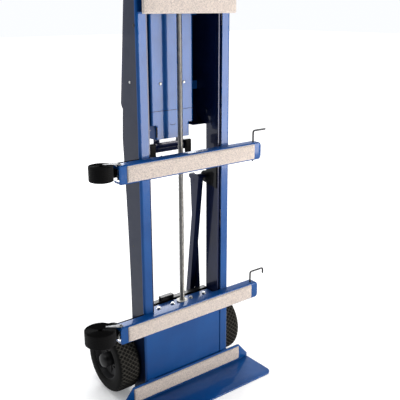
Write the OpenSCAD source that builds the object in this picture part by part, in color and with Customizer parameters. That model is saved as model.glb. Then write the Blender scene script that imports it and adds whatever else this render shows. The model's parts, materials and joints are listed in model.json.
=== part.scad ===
// Battery-powered stair-climbing hand truck: a sliding lift frame with toe plate and
// strap bars, driven up and down a wheeled chassis by one long lead screw.
// Millimetres. X to the right, Y to the back, Z up. The origin is on the floor, on the
// centre plane, at the front face of the uprights.

/* [Frame] */
// Outside width over the two uprights
frame_w = 392; // [327:1:470]
// Height of the uprights above the floor
upright_h = 1500; // [1250:1:1800]
// Width of each upright's front flange
flange_w = 36; // [28:1:40]
// Thickness of the folded sheet
sheet = 3; // [2:0.5:4]
// Radius of the folded front corner
corner_r = 8; // [5:1:10]
// Depth of an upright's side at the foot
foot_d = 86; // [80:1:96]
// Depth of an upright's side at its widest
belly_d = 107; // [98:1:120]
// Depth of an upright's side at the top
top_d = 53; // [46:1:70]

/* [Toe plate] */
// Width of the toe plate
toe_w = 604; // [500:1:720]
// Reach of the toe plate in front of the uprights
toe_reach = 160; // [130:1:200]
// Thickness of the toe plate
toe_t = 6; // [5:0.5:8]
// Height of the toe plate's back flange
toe_back_h = 74; // [60:1:90]

/* [Strap bars] */
// Distance of the strap bars' right ends from the centre plane
bar_right = 324; // [290:1:400]
// Distance of the upper bar's left end from the centre plane
mid_bar_left = 300; // [270:1:370]
// Distance of the lower bar's left end from the centre plane
low_bar_left = 318; // [280:1:390]
// Height of each strap bar
bar_h = 66; // [55:1:79]
// Depth of each strap bar
bar_d = 36; // [30:1:43]
// Height of the middle of the upper bar
mid_bar_z = 889; // [780:1:980]
// Height of the middle of the lower bar
low_bar_z = 315; // [300:1:330]
// Height of the carpet strips
pad_h = 56; // [46:1:60]
// Thickness of the carpet strips
pad_t = 8; // [6:1:10]

/* [Wheels] */
// Radius of the main tyres
wheel_r = 127; // [106:1:140]
// Width of the main tyres
tyre_w = 88; // [70:1:106]
// Radius of the main axle
axle_r = 10; // [8:0.5:12]
// Radius of the small support wheels
small_wheel_r = 38; // [32:1:42]

/* [Lead screw] */
// Outside radius of the lead screw
screw_r = 9.5; // [8:0.1:11.4]
// Distance of the screw behind the front plane
screw_y = 38; // [36:1:44]
// Running clearance of shafts in their holes
run_gap = 0.05; // [0.02:0.01:0.1]

/* [Straps] */
// Width of the webbing
web_w = 50; // [42:1:56]
// Thickness of the webbing
web_t = 2.4; // [1.6:0.1:3]
// Radius of the rolled strap at the upper bar
mid_roll_r = 43; // [36:1:52]
// Radius of the rolled strap at the lower bar
low_roll_r = 57; // [48:1:64]

/* [Hidden] */
$fn = 64;

half = frame_w / 2;
touch_gap = 0.4;
tilt_up = [90, 0, 90];      // turns an extrusion's outline into the YZ plane
belly_z = 0.647 * upright_h;
foot_z = 400;
upright_z0 = toe_t;
toe_heel = 7;

// chassis rails, nested inside the uprights
rail_x = half - 46;
rail_y0 = 8;
rail_y1 = 78;
rail_lip = 9;
rail_z0 = 45;
rail_z1 = upright_h - 16;
block_h = 60;

// the lower panel and its shelf
panel_y = sheet;
shelf_z = 331;
shelf_y1 = 66;
shelf_half = rail_x - 5;
panel_half = half - corner_r - 1;

// lead nut
nut_flange_r = screw_r + 11.5;
nut_body_r = screw_r + 4.5;
nut_flange_h = 6;
nut_bottom_z = shelf_z - 35;
nut_block_w = 240;
nut_block_h = 10;

// wheels and axle
axle_y = 150;
axle_z = wheel_r;
plate_t = 6;
boss_r = 32;
wheel_x0 = half + 4;
rim_r = 0.6 * wheel_r;
hub_r = 24;
axle_half = wheel_x0 + tyre_w + 10;
spacer_r = axle_r + 5;

// rear housing and covers
house_z0 = upright_h - 505;
house_z1 = rail_z1;
house_y0 = 20;
house_y1 = 186;
house_top_y = 142;
house_back_z = house_z0 + 95;
house_corner_r = 28;
house_floor_y = 122;
house_t = 3;
cover_y = 82;
cover_half = 93;
cover_d = 60;
cover_t = 2;
cover_edge_r = 8;
cover_seam_z = house_z0 + 66;
cover_step_z = house_z0 + 17;
cover_foot_z = house_z0 - 35;
cover_step_half = 75;
cover_screw_x = 51;
cover_screw_z = cover_seam_z + 95;
cover_screw_r = 2;
mount_z0 = house_z0 - 88;
mount_z1 = house_z0 - 53;
mount_y0 = 105;
mount_d = 20;
bumper_w = 27;

// drive at the top
case_z0 = rail_z1;
case_h = 50;
case_half = rail_x + 12;
case_y0 = 7;
case_y1 = 172;
case_t = 4;
motor_y = 128;
motor_r = 30;
motor_shaft_r = 7;
screw_pulley_r = 22.4;
motor_pulley_r = 16;
belt_t = 2.5;
belt_gap = 0.3;
pulley_h = 18;
pulley_z0 = case_z0 + 22;
bearing_h = 12;
bearing_wall = 8;
journal_r = screw_r - 1.5;

// handle
tube_r = 14;
handle_x = 118;
handle_y = 154;
handle_bend_r = 55;
handle_bend_z = upright_h + 150;
handle_z0 = case_z0 + case_h;
handle_bar_z = upright_h + 95;
grip_y0 = handle_y + handle_bend_r + 6;
grip_l = 120;
grip_r = 17;
box_w = 96;
box_d = 46;
box_h = 62;
switch_w = 22;
switch_h = 34;

// battery behind the housing
battery_w = 140;
battery_h = 210;
battery_d = 56;
battery_z0 = house_z0 + 125;
battery_gap = 0.5;
cradle_t = 4;
cradle_h = 60;

// folding support legs
leg_y = 85;
leg_z = house_z0 - 202;
leg_end_y = 158;
leg_end_z = axle_z + 59;
leg_x0 = rail_x - 42;
leg_w = 24;
leg_d = 24;
leg_pin_r = 7;
leg_tie = 0.87;
leg_l = norm([leg_end_y - leg_y, leg_z - leg_end_z]);
leg_tilt = atan2(leg_end_y - leg_y, leg_z - leg_end_z);
crank_y = 146;
crank_z = leg_z - 8;
crank_pin_r = 5;
rod_x0 = leg_x0 + leg_w + 1;
rod_w = 10;
rod_d = 22;
rod_end_y = 113;
rod_end_z = 205;
rod_tilt = atan2(crank_y - rod_end_y, crank_z - rod_end_z);
rod_l = norm([crank_y - rod_end_y, crank_z - rod_end_z]);
small_axle_r = 7;
small_wheel_w = 34;
bracket_t = 4;

// strap bars
pad_inset_left = 30;
pad_inset_right = 33;
bar_end_r = 10;
hook_r = 3.5;
hook_x = bar_right - 24;
hook_y = -bar_d / 2;
hook_up = 34;
hook_down = 9;
hook_arm = 60;
hook_bend_r = 9;
top_pad_z = upright_h - 109;
top_bar_d = 30;
top_pad_t = 14;
toe_pad_half = toe_w / 2 - 47;

// strap rolls and buckles
roll_core_r = 9;
roll_y = -2;
roll_rise = 10;
strap_y = 3;
buckle_t = 3;
buckle_l = 46;
buckle_y0 = -22;
lever_pin_r = 4;
bolt_r = 4;

// depth of an upright's side at height z: it swells to belly_d and tapers to top_d
function side_depth(z) = z < belly_z
    ? foot_d + (belly_d - foot_d) * pow(max(0, (z - foot_z) / (belly_z - foot_z)), 1.6)
    : belly_d - (belly_d - top_d) * pow((z - belly_z) / (upright_h - belly_z), 1.25);

module paint() color([0.10, 0.26, 0.58]) children();
module dark_paint() color([0.05, 0.08, 0.16]) children();
module black() color([0.06, 0.06, 0.07]) children();
module steel() color([0.66, 0.66, 0.64]) children();
module carpet() color([0.82, 0.77, 0.72]) children();

// a box between two corners
module block(a, b) translate(a) cube(b - a);
// an outline drawn in Y and Z, made into a plate from x0 to x1
module yz_plate(x0, x1) translate([x0, 0, 0]) rotate(tilt_up) linear_extrude(x1 - x0) children();
// an outline drawn in X and Z, made into a plate from y0 back to y1
module xz_plate(y0, y1) translate([0, y1, 0]) rotate([90, 0, 0]) linear_extrude(y1 - y0) children();
module rod_x(x0, x1, r) translate([x0, 0, 0]) rotate([0, 90, 0]) cylinder(h = x1 - x0, r = r);
module rod_y(y0, y1, r) translate([0, y0, 0]) rotate([-90, 0, 0]) cylinder(h = y1 - y0, r = r);
module both_sides() { children(); mirror([1, 0, 0]) children(); }
// a rectangle with its four corners rounded by true arcs
module round_rect(x0, y0, x1, y1, r) {
    translate([x0 + r, y0]) square([x1 - x0 - 2 * r, y1 - y0]);
    translate([x0, y0 + r]) square([x1 - x0, y1 - y0 - 2 * r]);
    for (x = [x0 + r, x1 - r], y = [y0 + r, y1 - r]) translate([x, y]) circle(r);
}

// ---- lift frame ----

side_step = 20;
top_hole_y = 14;
top_hole_z = upright_h - 144;
module upright_side() polygon(concat([[corner_r, upright_z0]],
    [for (z = [upright_z0 : (upright_h - upright_z0) / side_step : upright_h + 1])
        [side_depth(min(z, upright_h)), min(z, upright_h)]],
    [[corner_r, upright_h]]));
module upright() paint() difference() {
    union() {
        block([half - flange_w, 0, upright_z0], [half - corner_r, sheet, upright_h]);
        translate([half - corner_r, corner_r, upright_z0]) intersection() {
            difference() {
                cylinder(h = upright_h - upright_z0, r = corner_r);
                translate([0, 0, -1]) cylinder(h = upright_h, r = corner_r - sheet);
            }
            translate([0, -corner_r, 0]) cube([corner_r, corner_r, upright_h]);
        }
        yz_plate(half - sheet, half) upright_side();
    }
    translate([0, top_hole_y, top_hole_z]) rod_x(half - sheet - 1, half + 1, 5);
}
module right_upright() upright();
module left_upright() mirror([1, 0, 0]) upright();

shelf_bolt_x = [43, shelf_half - 38];
module at_shelf_bolts() both_sides() for (x = shelf_bolt_x) translate([x, screw_y + 2, 0]) children();
module lower_panel() paint() difference() {
    union() {
        block([-panel_half, panel_y, 12], [panel_half, panel_y + sheet, shelf_z]);
        block([-shelf_half, panel_y, shelf_z - sheet], [shelf_half, shelf_y1, shelf_z]);
        block([-shelf_half, shelf_y1 - sheet, shelf_z - 31], [shelf_half, shelf_y1, shelf_z]);
    }
    translate([0, screw_y, shelf_z - 20]) cylinder(h = 30, r = nut_body_r + run_gap);
    at_shelf_bolts() translate([0, 0, shelf_z - 20]) cylinder(h = 30, r = bolt_r);
}

module nut_bracket() steel() difference() {
    block([-nut_block_w / 2, screw_y - 20, shelf_z - sheet - nut_block_h],
        [nut_block_w / 2, screw_y + 20, shelf_z - sheet]);
    translate([0, screw_y, shelf_z - 30]) cylinder(h = 40, r = nut_body_r + run_gap);
    at_shelf_bolts() translate([0, 0, shelf_z - 30]) cylinder(h = 40, r = bolt_r);
}

module lead_nut() color([0.90, 0.89, 0.86]) difference() {
    union() {
        translate([0, screw_y, shelf_z]) cylinder(h = nut_flange_h, r = nut_flange_r);
        translate([0, screw_y, nut_bottom_z]) cylinder(h = shelf_z - nut_bottom_z, r = nut_body_r);
    }
    translate([0, screw_y, nut_bottom_z - 1]) cylinder(h = 60, r = screw_r + run_gap);
}

toe_corner_r = 30;
toe_chamfer = 46;
module toe_plate() paint() {
    linear_extrude(toe_t) {
        translate([-half, -toe_corner_r]) square([frame_w, toe_corner_r + toe_heel]);
        translate([-toe_w / 2, -toe_reach + toe_corner_r]) square([toe_w, toe_reach - toe_corner_r]);
        translate([-toe_w / 2 + toe_corner_r, -toe_reach]) square([toe_w - 2 * toe_corner_r, toe_reach]);
        for (s = [-1, 1]) translate([s * (toe_w / 2 - toe_corner_r), -toe_reach + toe_corner_r])
            circle(toe_corner_r);
    }
    xz_plate(-toe_t, 0) polygon([[-toe_w / 2, toe_t], [toe_w / 2, toe_t], [toe_w / 2, toe_t + 14],
        [toe_w / 2 - toe_chamfer, toe_back_h], [-toe_w / 2 + toe_chamfer, toe_back_h],
        [-toe_w / 2, toe_t + 14]]);
}

module carpet_strip(x0, x1, z0, z1, y_back, t) carpet() block([x0, y_back - t, z0], [x1, y_back, z1]);
module toe_pad() carpet_strip(-toe_pad_half, toe_pad_half, toe_t + 7, toe_back_h - 8, -toe_t, pad_t);

// a channel across both uprights, open at the back
module strap_bar(z, left) paint() difference() {
    xz_plate(-bar_d, 0)
        round_rect(-left, z - bar_h / 2, bar_right, z + bar_h / 2, bar_end_r);
    block([-left - 1, -bar_d + sheet, z - bar_h / 2 + sheet], [bar_right + 1, 1, z + bar_h / 2 - sheet]);
    translate([hook_x, hook_y, z - bar_h]) cylinder(h = 2 * bar_h, r = hook_r + run_gap);
    for (s = [-1, 1], x = [-1, 1]) translate([x * (half - flange_w / 2), 0, z + s * bar_h / 4])
        rod_y(-bar_d - 1, -bar_d + sheet + 1, bolt_r);
}
module mid_bar() strap_bar(mid_bar_z, mid_bar_left);
module low_bar() strap_bar(low_bar_z, low_bar_left);
module bar_pad(z, left) carpet_strip(-left + pad_inset_left, bar_right - pad_inset_right,
    z - pad_h / 2, z + pad_h / 2, -bar_d, pad_t);
module mid_pad() bar_pad(mid_bar_z, mid_bar_left);
module low_pad() bar_pad(low_bar_z, low_bar_left);

module top_plate() paint()
    difference() {
        block([-half + 6, -top_bar_d, top_pad_z + 3], [half - 6, 0, top_pad_z + pad_h + 2]);
        block([-half + 5, -top_bar_d + sheet, top_pad_z + 3 + sheet],
            [half - 5, 1, top_pad_z + pad_h + 2 - sheet]);
    }
module top_pad() carpet_strip(-half + 4, half - 4, top_pad_z, top_pad_z + pad_h, -top_bar_d, top_pad_t);

// carriage bolts of the bars, and hexagon bolts of the shelf
module frame_bolts() steel() {
    for (z = [mid_bar_z, low_bar_z], s = [-1, 1], x = [-1, 1])
        translate([x * (half - flange_w / 2), 0, z + s * bar_h / 4]) {
            rod_y(-bar_d, 0, bolt_r - run_gap);
        }
    at_shelf_bolts() {
        translate([0, 0, shelf_z - sheet - nut_block_h])
            cylinder(h = nut_block_h + sheet, r = bolt_r - run_gap);
        translate([0, 0, shelf_z]) cylinder(h = 5, r = 8, $fn = 6);
    }
}

// webbing rolled round its own end, and its tail behind the bar
module strap(z, left, r) black() translate([0, 0, z + roll_rise]) {
    translate([-left - r - 4, roll_y, -web_w / 2]) difference() {
        cylinder(h = web_w, r = r);
        translate([0, 0, -1]) cylinder(h = web_w + 2, r = roll_core_r);
    }
    block([-left - 8, strap_y, -web_w / 2], [-half - 1, strap_y + web_t, web_w / 2]);
}
module mid_strap() strap(mid_bar_z, mid_bar_left, mid_roll_r);
module low_strap() strap(low_bar_z, low_bar_left, low_roll_r);

// a steel fork inside the bar's left end, with the pin of the cam lever
lever_in = 22;
lever_y = -16;
buckle_half = bar_h / 2 - sheet;
module buckle(z, left) steel() translate([-left, 0, z]) {
    for (s = [-1, 1]) translate([0, 0, s * (buckle_half - buckle_t / 2)]) difference() {
        block([2, buckle_y0, -buckle_t / 2], [2 + buckle_l, 0, buckle_t / 2]);
        translate([lever_in, lever_y, -buckle_t]) cylinder(h = 2 * buckle_t, r = lever_pin_r);
    }
    block([lever_in + 12, -buckle_t, -buckle_half + buckle_t], [2 + buckle_l, 0, buckle_half - buckle_t]);
    translate([lever_in, lever_y, -buckle_half]) cylinder(h = 2 * buckle_half, r = lever_pin_r);
}
module mid_buckle() buckle(mid_bar_z, mid_bar_left);
module low_buckle() buckle(low_bar_z, low_bar_left);
module cam_lever(z, left) steel() translate([-left + lever_in, lever_y, z]) difference() {
    union() {
        translate([0, 0, -web_w / 2 + 2]) cylinder(h = web_w - 4, r = 8);
        block([-21, -6, -web_w / 2 + 8], [0, -2, web_w / 2 - 8]);
    }
    translate([0, 0, -web_w]) cylinder(h = 2 * web_w, r = lever_pin_r + run_gap);
}
module mid_cam_lever() cam_lever(mid_bar_z, mid_bar_left);
module low_cam_lever() cam_lever(low_bar_z, low_bar_left);

// a bent round rod: up through the bar, then out to the side; tip is the turned-down end
module j_hook(z, tip) black() translate([hook_x, hook_y, z]) {
    translate([0, 0, -bar_h / 2 - hook_down]) cylinder(h = bar_h + hook_down + hook_up, r = hook_r);
    translate([hook_bend_r, 0, bar_h / 2 + hook_up]) rotate([90, 0, 0]) rotate([0, 0, 90])
        rotate_extrude(angle = 90) translate([hook_bend_r, 0]) circle(hook_r);
    translate([0, 0, bar_h / 2 + hook_up + hook_bend_r]) rod_x(hook_bend_r, hook_arm, hook_r);
    if (tip > 0) translate([hook_arm, 0, bar_h / 2 + hook_up]) {
        rotate([90, 0, 0]) rotate_extrude(angle = 90) translate([hook_bend_r, 0]) circle(hook_r);
        translate([hook_bend_r, 0, -tip]) cylinder(h = tip, r = hook_r);
    }
}
module mid_hook() j_hook(mid_bar_z, 0);
module low_hook() j_hook(low_bar_z, 12);

// ---- chassis ----

module rail() dark_paint() {
    block([rail_x, rail_y0, rail_z0], [rail_x + sheet, rail_y1, rail_z1]);
    for (y = [rail_y0, rail_y1 - sheet])
        block([rail_x + sheet, y, rail_z0], [rail_x + sheet + rail_lip, y + sheet, rail_z1]);
}
module right_rail() rail();
module left_rail() mirror([1, 0, 0]) rail();

// plastic wear blocks between the rails and the uprights
block_heights = [110, 0.4 * upright_h, 0.66 * upright_h, upright_h - 150];
module slide_blocks() color([0.88, 0.88, 0.85]) both_sides() for (z = block_heights) {
    block([rail_x + sheet + rail_lip, corner_r + 1, z], [half - sheet - touch_gap, 44, z + block_h]);
    block([rail_x + sheet, rail_y0 + sheet, z], [rail_x + sheet + rail_lip, 44, z + block_h]);
}

guide_z = 262;
module axle_plates() black() both_sides() difference() {
    yz_plate(rail_x - plate_t, rail_x) {
        polygon([[14, rail_z0 + 10], [axle_y, axle_z - boss_r], [axle_y, axle_z + boss_r],
            [rod_end_y + 30, guide_z + 10], [14, guide_z + 10]]);
        translate([axle_y, axle_z]) circle(boss_r);
    }
    translate([0, axle_y, axle_z]) rod_x(rail_x - 20, rail_x + 20, axle_r + run_gap);
}
// tabs before and behind each rod, which guide its lower end
module rod_guides() black() both_sides() for (y = [rod_end_y - 24, rod_end_y + 22])
    block([rod_x0, y, guide_z - 6], [rail_x - plate_t, y + sheet, guide_z + 6]);
module axle() steel() translate([0, axle_y, axle_z]) rod_x(-axle_half, axle_half, axle_r);
module tube_x(x0, x1, r_out, r_in) difference() {
    rod_x(x0, x1, r_out);
    rod_x(x0 - 1, x1 + 1, r_in);
}
module axle_fittings() steel() translate([0, axle_y, axle_z]) both_sides() {
    tube_x(rail_x, wheel_x0 + 3, spacer_r, axle_r + run_gap);
    tube_x(wheel_x0 + tyre_w + 1, wheel_x0 + tyre_w + 4, axle_r + 8, axle_r + run_gap);
}

// the foot that carries the screw's lower bearing, and a tube behind the shelf with a cable block
foot_plate_z = rail_z0 + 20;
cross_tube = 22;
cross_y = rail_y1 - 4;
cross_z = 314;
cable_block = [-70, -12];
cable_block_h = 14;
module crossmembers() black() {
    difference() {
        block([-rail_x + plate_t, 14, foot_plate_z], [rail_x - plate_t, 68, foot_plate_z + bearing_h]);
        translate([0, screw_y, foot_plate_z - 1]) cylinder(h = 30, r = screw_r + bearing_wall);
    }
    block([-rail_x, cross_y, cross_z], [rail_x, cross_y + cross_tube, cross_z + cross_tube]);
    block([cable_block[0], cross_y + 2, cross_z + cross_tube - 1],
        [cable_block[1], cross_y + cross_tube - 2, cross_z + cross_tube + cable_block_h]);
}
module bearing(z, bore) translate([0, screw_y, z]) difference() {
    cylinder(h = bearing_h, r = bore + bearing_wall);
    translate([0, 0, -1]) cylinder(h = bearing_h + 2, r = bore + run_gap);
}
module screw_bearings() steel() {
    bearing(foot_plate_z, screw_r);
    bearing(case_z0 + case_t, journal_r);
}

module drive_case() black() difference() {
    block([-case_half, case_y0, case_z0], [case_half, case_y1, case_z0 + case_h]);
    block([-case_half + case_t, case_y0 + case_t, case_z0 + case_t],
        [case_half - case_t, case_y1 - case_t, case_z0 + case_h - case_t]);
    translate([0, screw_y, case_z0 - 1]) cylinder(h = case_t + 2, r = journal_r + 2);
    translate([0, motor_y, case_z0 - 1]) cylinder(h = case_t + 2, r = motor_shaft_r + 3);
}
// the outline round both pulleys: two circles and the straight runs that touch them
belt_span = motor_y - screw_y;
belt_lean = asin((screw_pulley_r - motor_pulley_r) / belt_span);
module belt_outline(grow) {
    a = screw_pulley_r + grow - 0.02;
    b = motor_pulley_r + grow - 0.02;
    translate([0, screw_y]) circle(screw_pulley_r + grow);
    translate([0, motor_y]) circle(motor_pulley_r + grow);
    polygon([[a * cos(belt_lean), screw_y + a * sin(belt_lean)],
        [b * cos(belt_lean), motor_y + b * sin(belt_lean)],
        [-b * cos(belt_lean), motor_y + b * sin(belt_lean)],
        [-a * cos(belt_lean), screw_y + a * sin(belt_lean)]]);
}
module drive_belt() black() translate([0, 0, pulley_z0 + 2]) linear_extrude(pulley_h - 4) difference() {
    belt_outline(belt_gap + belt_t);
    belt_outline(belt_gap);
}
motor_z0 = cover_seam_z + 20;
motor_l = 200;
motor_nose = 40;
shaft_z0 = motor_z0 + motor_l + motor_nose;
module motor() steel() {
    translate([0, motor_y, motor_z0]) cylinder(h = motor_l, r = motor_r);
    translate([0, motor_y, motor_z0 + motor_l]) cylinder(h = motor_nose, r = motor_r - 8);
    intersection() {
        block([-motor_r + 6, motor_y + 10, motor_z0 + 20], [motor_r - 6, house_y1, motor_z0 + motor_l - 20]);
        yz_plate(-motor_r, motor_r) house_outline(house_t);
    }
}
module motor_pulley() steel() {
    translate([0, motor_y, shaft_z0]) cylinder(h = pulley_z0 + pulley_h - shaft_z0, r = motor_shaft_r);
    translate([0, motor_y, pulley_z0]) cylinder(h = pulley_h, r = motor_pulley_r);
}

// a pressed cover: rounded vertical edges, open at the back
module cover_shell(half_w, z0, z1, closed_foot) difference() {
    translate([0, 0, z0]) linear_extrude(z1 - z0)
        round_rect(-half_w, cover_y, half_w, cover_y + cover_d, cover_edge_r);
    translate([0, 0, z0 + (closed_foot ? cover_t : -1)]) linear_extrude(z1 - z0 + 2)
        round_rect(-half_w + cover_t, cover_y + cover_t, half_w - cover_t, cover_y + cover_d + 20,
            cover_edge_r - cover_t);
    if (closed_foot) block([-half_w + cover_t, cover_y + cover_d - 1, z0 - 1],
        [half_w - cover_t, cover_y + cover_d + 1, z1 + 1]);
}
module motor_cover() paint() difference() {
    union() {
        cover_shell(cover_half, cover_seam_z, house_z1 - 6, false);
        for (z = [cover_seam_z + 60, house_z1 - 100]) both_sides()
            block([cover_half - cover_t, cover_y + cover_d - 12, z],
                [rail_x - house_t, cover_y + cover_d - 8, z + 30]);
    }
    for (s = [-1, 1]) translate([s * cover_screw_x, 0, cover_screw_z])
        rod_y(cover_y - 1, cover_y + cover_t + 1, cover_screw_r + run_gap);
}
module gearbox_cover() paint() {
    cover_shell(cover_half, cover_step_z, cover_seam_z, true);
    cover_shell(cover_step_half, cover_foot_z, cover_step_z, true);
}
module cover_screws() steel() for (s = [-1, 1]) translate([s * cover_screw_x, 0, cover_screw_z]) {
    rod_y(cover_y - 3, cover_y, 6);
    rod_y(cover_y, cover_y + cover_t + 8, cover_screw_r);
}

mount_half = cover_half;
module motor_mount() dark_paint() {
    block([-mount_half, mount_y0, mount_z0], [mount_half, mount_y0 + mount_d, mount_z1]);
    for (s = [-1, 1]) block([s * 50 - 12, mount_y0 + 4, mount_z1], [s * 50 + 12, mount_y0 + 10, cover_foot_z]);
}
module bumpers() black() both_sides() {
    block([mount_half - bumper_w, mount_y0 - 12, mount_z0 - 14], [mount_half, mount_y0, mount_z1 - 12]);
    translate([mount_half - bumper_w / 2, 0, mount_z1 - 12]) rod_y(mount_y0 - 12, mount_y0, bumper_w / 2);
}

// side plates, a leaning back and a floor in one folded shell, open to the front
module house_outline(inset) {
    r = house_corner_r - inset;
    y1 = house_y1 - inset;
    intersection() {
        union() {
            polygon([[house_y0, house_z0], [house_floor_y, house_z0], [y1 - r, house_back_z - r],
                [y1 - r, house_back_z], [y1, house_back_z],
                [house_top_y - inset, house_z1], [house_y0, house_z1]]);
            translate([y1 - r, house_back_z]) circle(r);
        }
        translate([house_y0, house_z0 + inset]) square([house_y1, house_z1 - inset - house_z0 - inset]);
    }
}
module rear_housing() dark_paint() {
    difference() {
        yz_plate(-rail_x, rail_x) house_outline(0);
        yz_plate(-rail_x + house_t, rail_x - house_t) house_outline(house_t);
        block([-rail_x + house_t, 0, house_z0 - 1], [rail_x - house_t, cover_y + 2, house_z1 + 1]);
        block([-cover_half - 1, 0, house_z0 - 1], [cover_half + 1, cover_y + cover_d + 1, cover_seam_z]);
        translate([0, motor_y, house_z1 - 10]) cylinder(h = 20, r = motor_shaft_r + 3);
    }
    // the cradle that the battery stands in
    difference() {
        block([-battery_w / 2 - cradle_t - battery_gap, house_top_y + 24, battery_z0 - cradle_t - battery_gap],
            [battery_w / 2 + cradle_t + battery_gap, house_y1 + battery_d + 6, battery_z0 + cradle_h]);
        yz_plate(-rail_x, rail_x) house_outline(house_t);
        block([-battery_w / 2 - battery_gap, house_y1, battery_z0 - battery_gap],
            [battery_w / 2 + battery_gap, house_y1 + battery_d + 2, battery_z0 + cradle_h + 1]);
    }
}
module battery() black() difference() {
    block([-battery_w / 2, house_y1 + 1, battery_z0],
        [battery_w / 2, house_y1 + 1 + battery_d, battery_z0 + battery_h]);
    block([-34, house_y1 + 14, battery_z0 + battery_h - 26],
        [34, house_y1 + battery_d + 2, battery_z0 + battery_h - 10]);
}

module leg_brackets() black() both_sides() difference() {
    yz_plate(rail_x - bracket_t, rail_x) {
        polygon([[14, leg_z - 34], [leg_y, leg_z - 22], [leg_y, leg_z + 22], [14, leg_z + 50]]);
        translate([leg_y, leg_z]) circle(22);
    }
    translate([0, leg_y, leg_z]) rod_x(rail_x - 20, rail_x + 20, leg_pin_r + run_gap);
}

// hand grips point back from two bent tubes, tied by a cross tube
module bent_tube(r) {
    translate([handle_x, handle_y, handle_z0]) cylinder(h = handle_bend_z - handle_z0, r = r);
    translate([handle_x, handle_y + handle_bend_r, handle_bend_z]) rotate([90, 0, 90]) rotate([0, 0, 90])
        rotate_extrude(angle = 90) translate([handle_bend_r, 0]) circle(r);
    translate([handle_x, 0, handle_bend_z + handle_bend_r])
        rod_y(handle_y + handle_bend_r, grip_y0 + grip_l - 6, r);
}
module handle() steel() {
    both_sides() bent_tube(tube_r);
    translate([0, handle_y, handle_bar_z]) rod_x(-handle_x, handle_x, tube_r - 3);
}
module grip() black() translate([handle_x, 0, handle_bend_z + handle_bend_r]) difference() {
    rod_y(grip_y0, grip_y0 + grip_l, grip_r);
    rod_y(grip_y0 - 1, grip_y0 + grip_l - 5, tube_r + run_gap);
}
module right_grip() grip();
module left_grip() mirror([1, 0, 0]) grip();

box_y0 = handle_y + tube_r - 3;
module control_box() black() difference() {
    block([-box_w / 2, box_y0, handle_bar_z - box_h / 2],
        [box_w / 2, box_y0 + box_d, handle_bar_z + box_h / 2]);
    block([-switch_w / 2 - 1, box_y0 + box_d - 17, handle_bar_z - switch_h / 2 - 1],
        [switch_w / 2 + 1, box_y0 + box_d + 1, handle_bar_z + switch_h / 2 + 1]);
}
module rocker_switch() color([0.55, 0.08, 0.06]) translate([0, box_y0 + box_d - 8, handle_bar_z])
    intersection() {
        rod_x(-switch_w / 2, switch_w / 2, switch_h / 2);
        block([-switch_w / 2, -3, -switch_h / 2], [switch_w / 2, 12, switch_h / 2]);
    }

// ---- screw ----

screw_z0 = foot_plate_z;
module lead_screw() steel() translate([0, screw_y, 0]) {
    translate([0, 0, screw_z0]) cylinder(h = case_z0 - 2 - screw_z0, r = screw_r);
    translate([0, 0, case_z0 - 2]) cylinder(h = pulley_z0 - case_z0 + 2, r = journal_r);
}
module screw_pulley() steel() translate([0, screw_y, pulley_z0]) cylinder(h = pulley_h, r = screw_pulley_r);

// ---- wheels ----

// a wheel's outline is drawn as radius and width, and turned about the axle
module wheel_turned() translate([wheel_x0, axle_y, axle_z]) rotate([0, 90, 0])
    rotate_extrude($fn = 96) children();
shoulder_r = 22;
module tyre() color([0.09, 0.09, 0.09]) wheel_turned() intersection() {
    translate([rim_r, 0]) square([wheel_r - rim_r, tyre_w]);
    union() {
        translate([rim_r, 0]) square([wheel_r - rim_r - shoulder_r, tyre_w]);
        translate([rim_r, shoulder_r]) square([wheel_r - rim_r, tyre_w - 2 * shoulder_r]);
        for (w = [shoulder_r, tyre_w - shoulder_r]) translate([wheel_r - shoulder_r, w]) circle(shoulder_r);
    }
}
rim_t = 3;
hub_x0 = 3;
module rim() color([0.12, 0.12, 0.13]) wheel_turned() {
    translate([rim_r - rim_t, 8]) square([rim_t, tyre_w - 16]);
    translate([axle_r + run_gap, hub_x0]) square([hub_r - axle_r, tyre_w - hub_x0]);
    translate([hub_r - 1, tyre_w / 2 + 6]) square([rim_r - hub_r, 5]);
}
module right_tyre() tyre();
module left_tyre() mirror([1, 0, 0]) tyre();
module right_rim() rim();
module left_rim() mirror([1, 0, 0]) rim();

// ---- folding support legs ----

module along_leg() translate([0, leg_y, leg_z]) rotate([leg_tilt, 0, 0]) children();
module leg() {
    along_leg() difference() {
        union() {
            block([leg_x0, -leg_d / 2, -leg_l - 12], [leg_x0 + leg_w, leg_d / 2, 0]);
            rod_x(leg_x0, leg_x0 + leg_w, leg_d / 2 + 1);
        }
        block([leg_x0 + sheet, -leg_d / 2 + sheet, -leg_l + 24], [leg_x0 + leg_w - sheet, leg_d, -24]);
    }
    // the pivot pin, and the crank arm with the rod's pin
    translate([0, leg_y, leg_z]) rod_x(leg_x0 + leg_w - 2, rail_x - touch_gap, leg_pin_r);
    yz_plate(leg_x0 + leg_w - 6, leg_x0 + leg_w - 0.5) {
        polygon([[leg_y, leg_z + 9], [leg_y, leg_z - 9], [crank_y, crank_z - 9], [crank_y, crank_z + 9]]);
        translate([crank_y, crank_z]) circle(crank_pin_r + 5);
    }
    translate([0, crank_y, crank_z]) rod_x(leg_x0 + leg_w - 2, rod_x0 + rod_w, crank_pin_r);
}
module support_legs() dark_paint() {
    both_sides() leg();
    along_leg() block([-leg_x0 - 1, -8, -leg_tie * leg_l], [leg_x0 + 1, 8, -leg_tie * leg_l + 24]);
    translate([0, leg_end_y, leg_end_z]) rod_x(-leg_x0 - leg_w - 3, leg_x0 + leg_w + 3, small_axle_r);
}
module small_wheel() black() translate([leg_x0 - small_wheel_w - 3, leg_end_y, leg_end_z]) rotate([0, 90, 0])
    rotate_extrude() difference() {
        translate([small_axle_r + run_gap, 0]) square([small_wheel_r - small_axle_r - run_gap, small_wheel_w]);
        translate([small_wheel_r - 3, -1]) square([5, 4]);
        translate([small_wheel_r - 3, small_wheel_w - 3]) square([5, 4]);
    }
module right_support_wheel() small_wheel();
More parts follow.
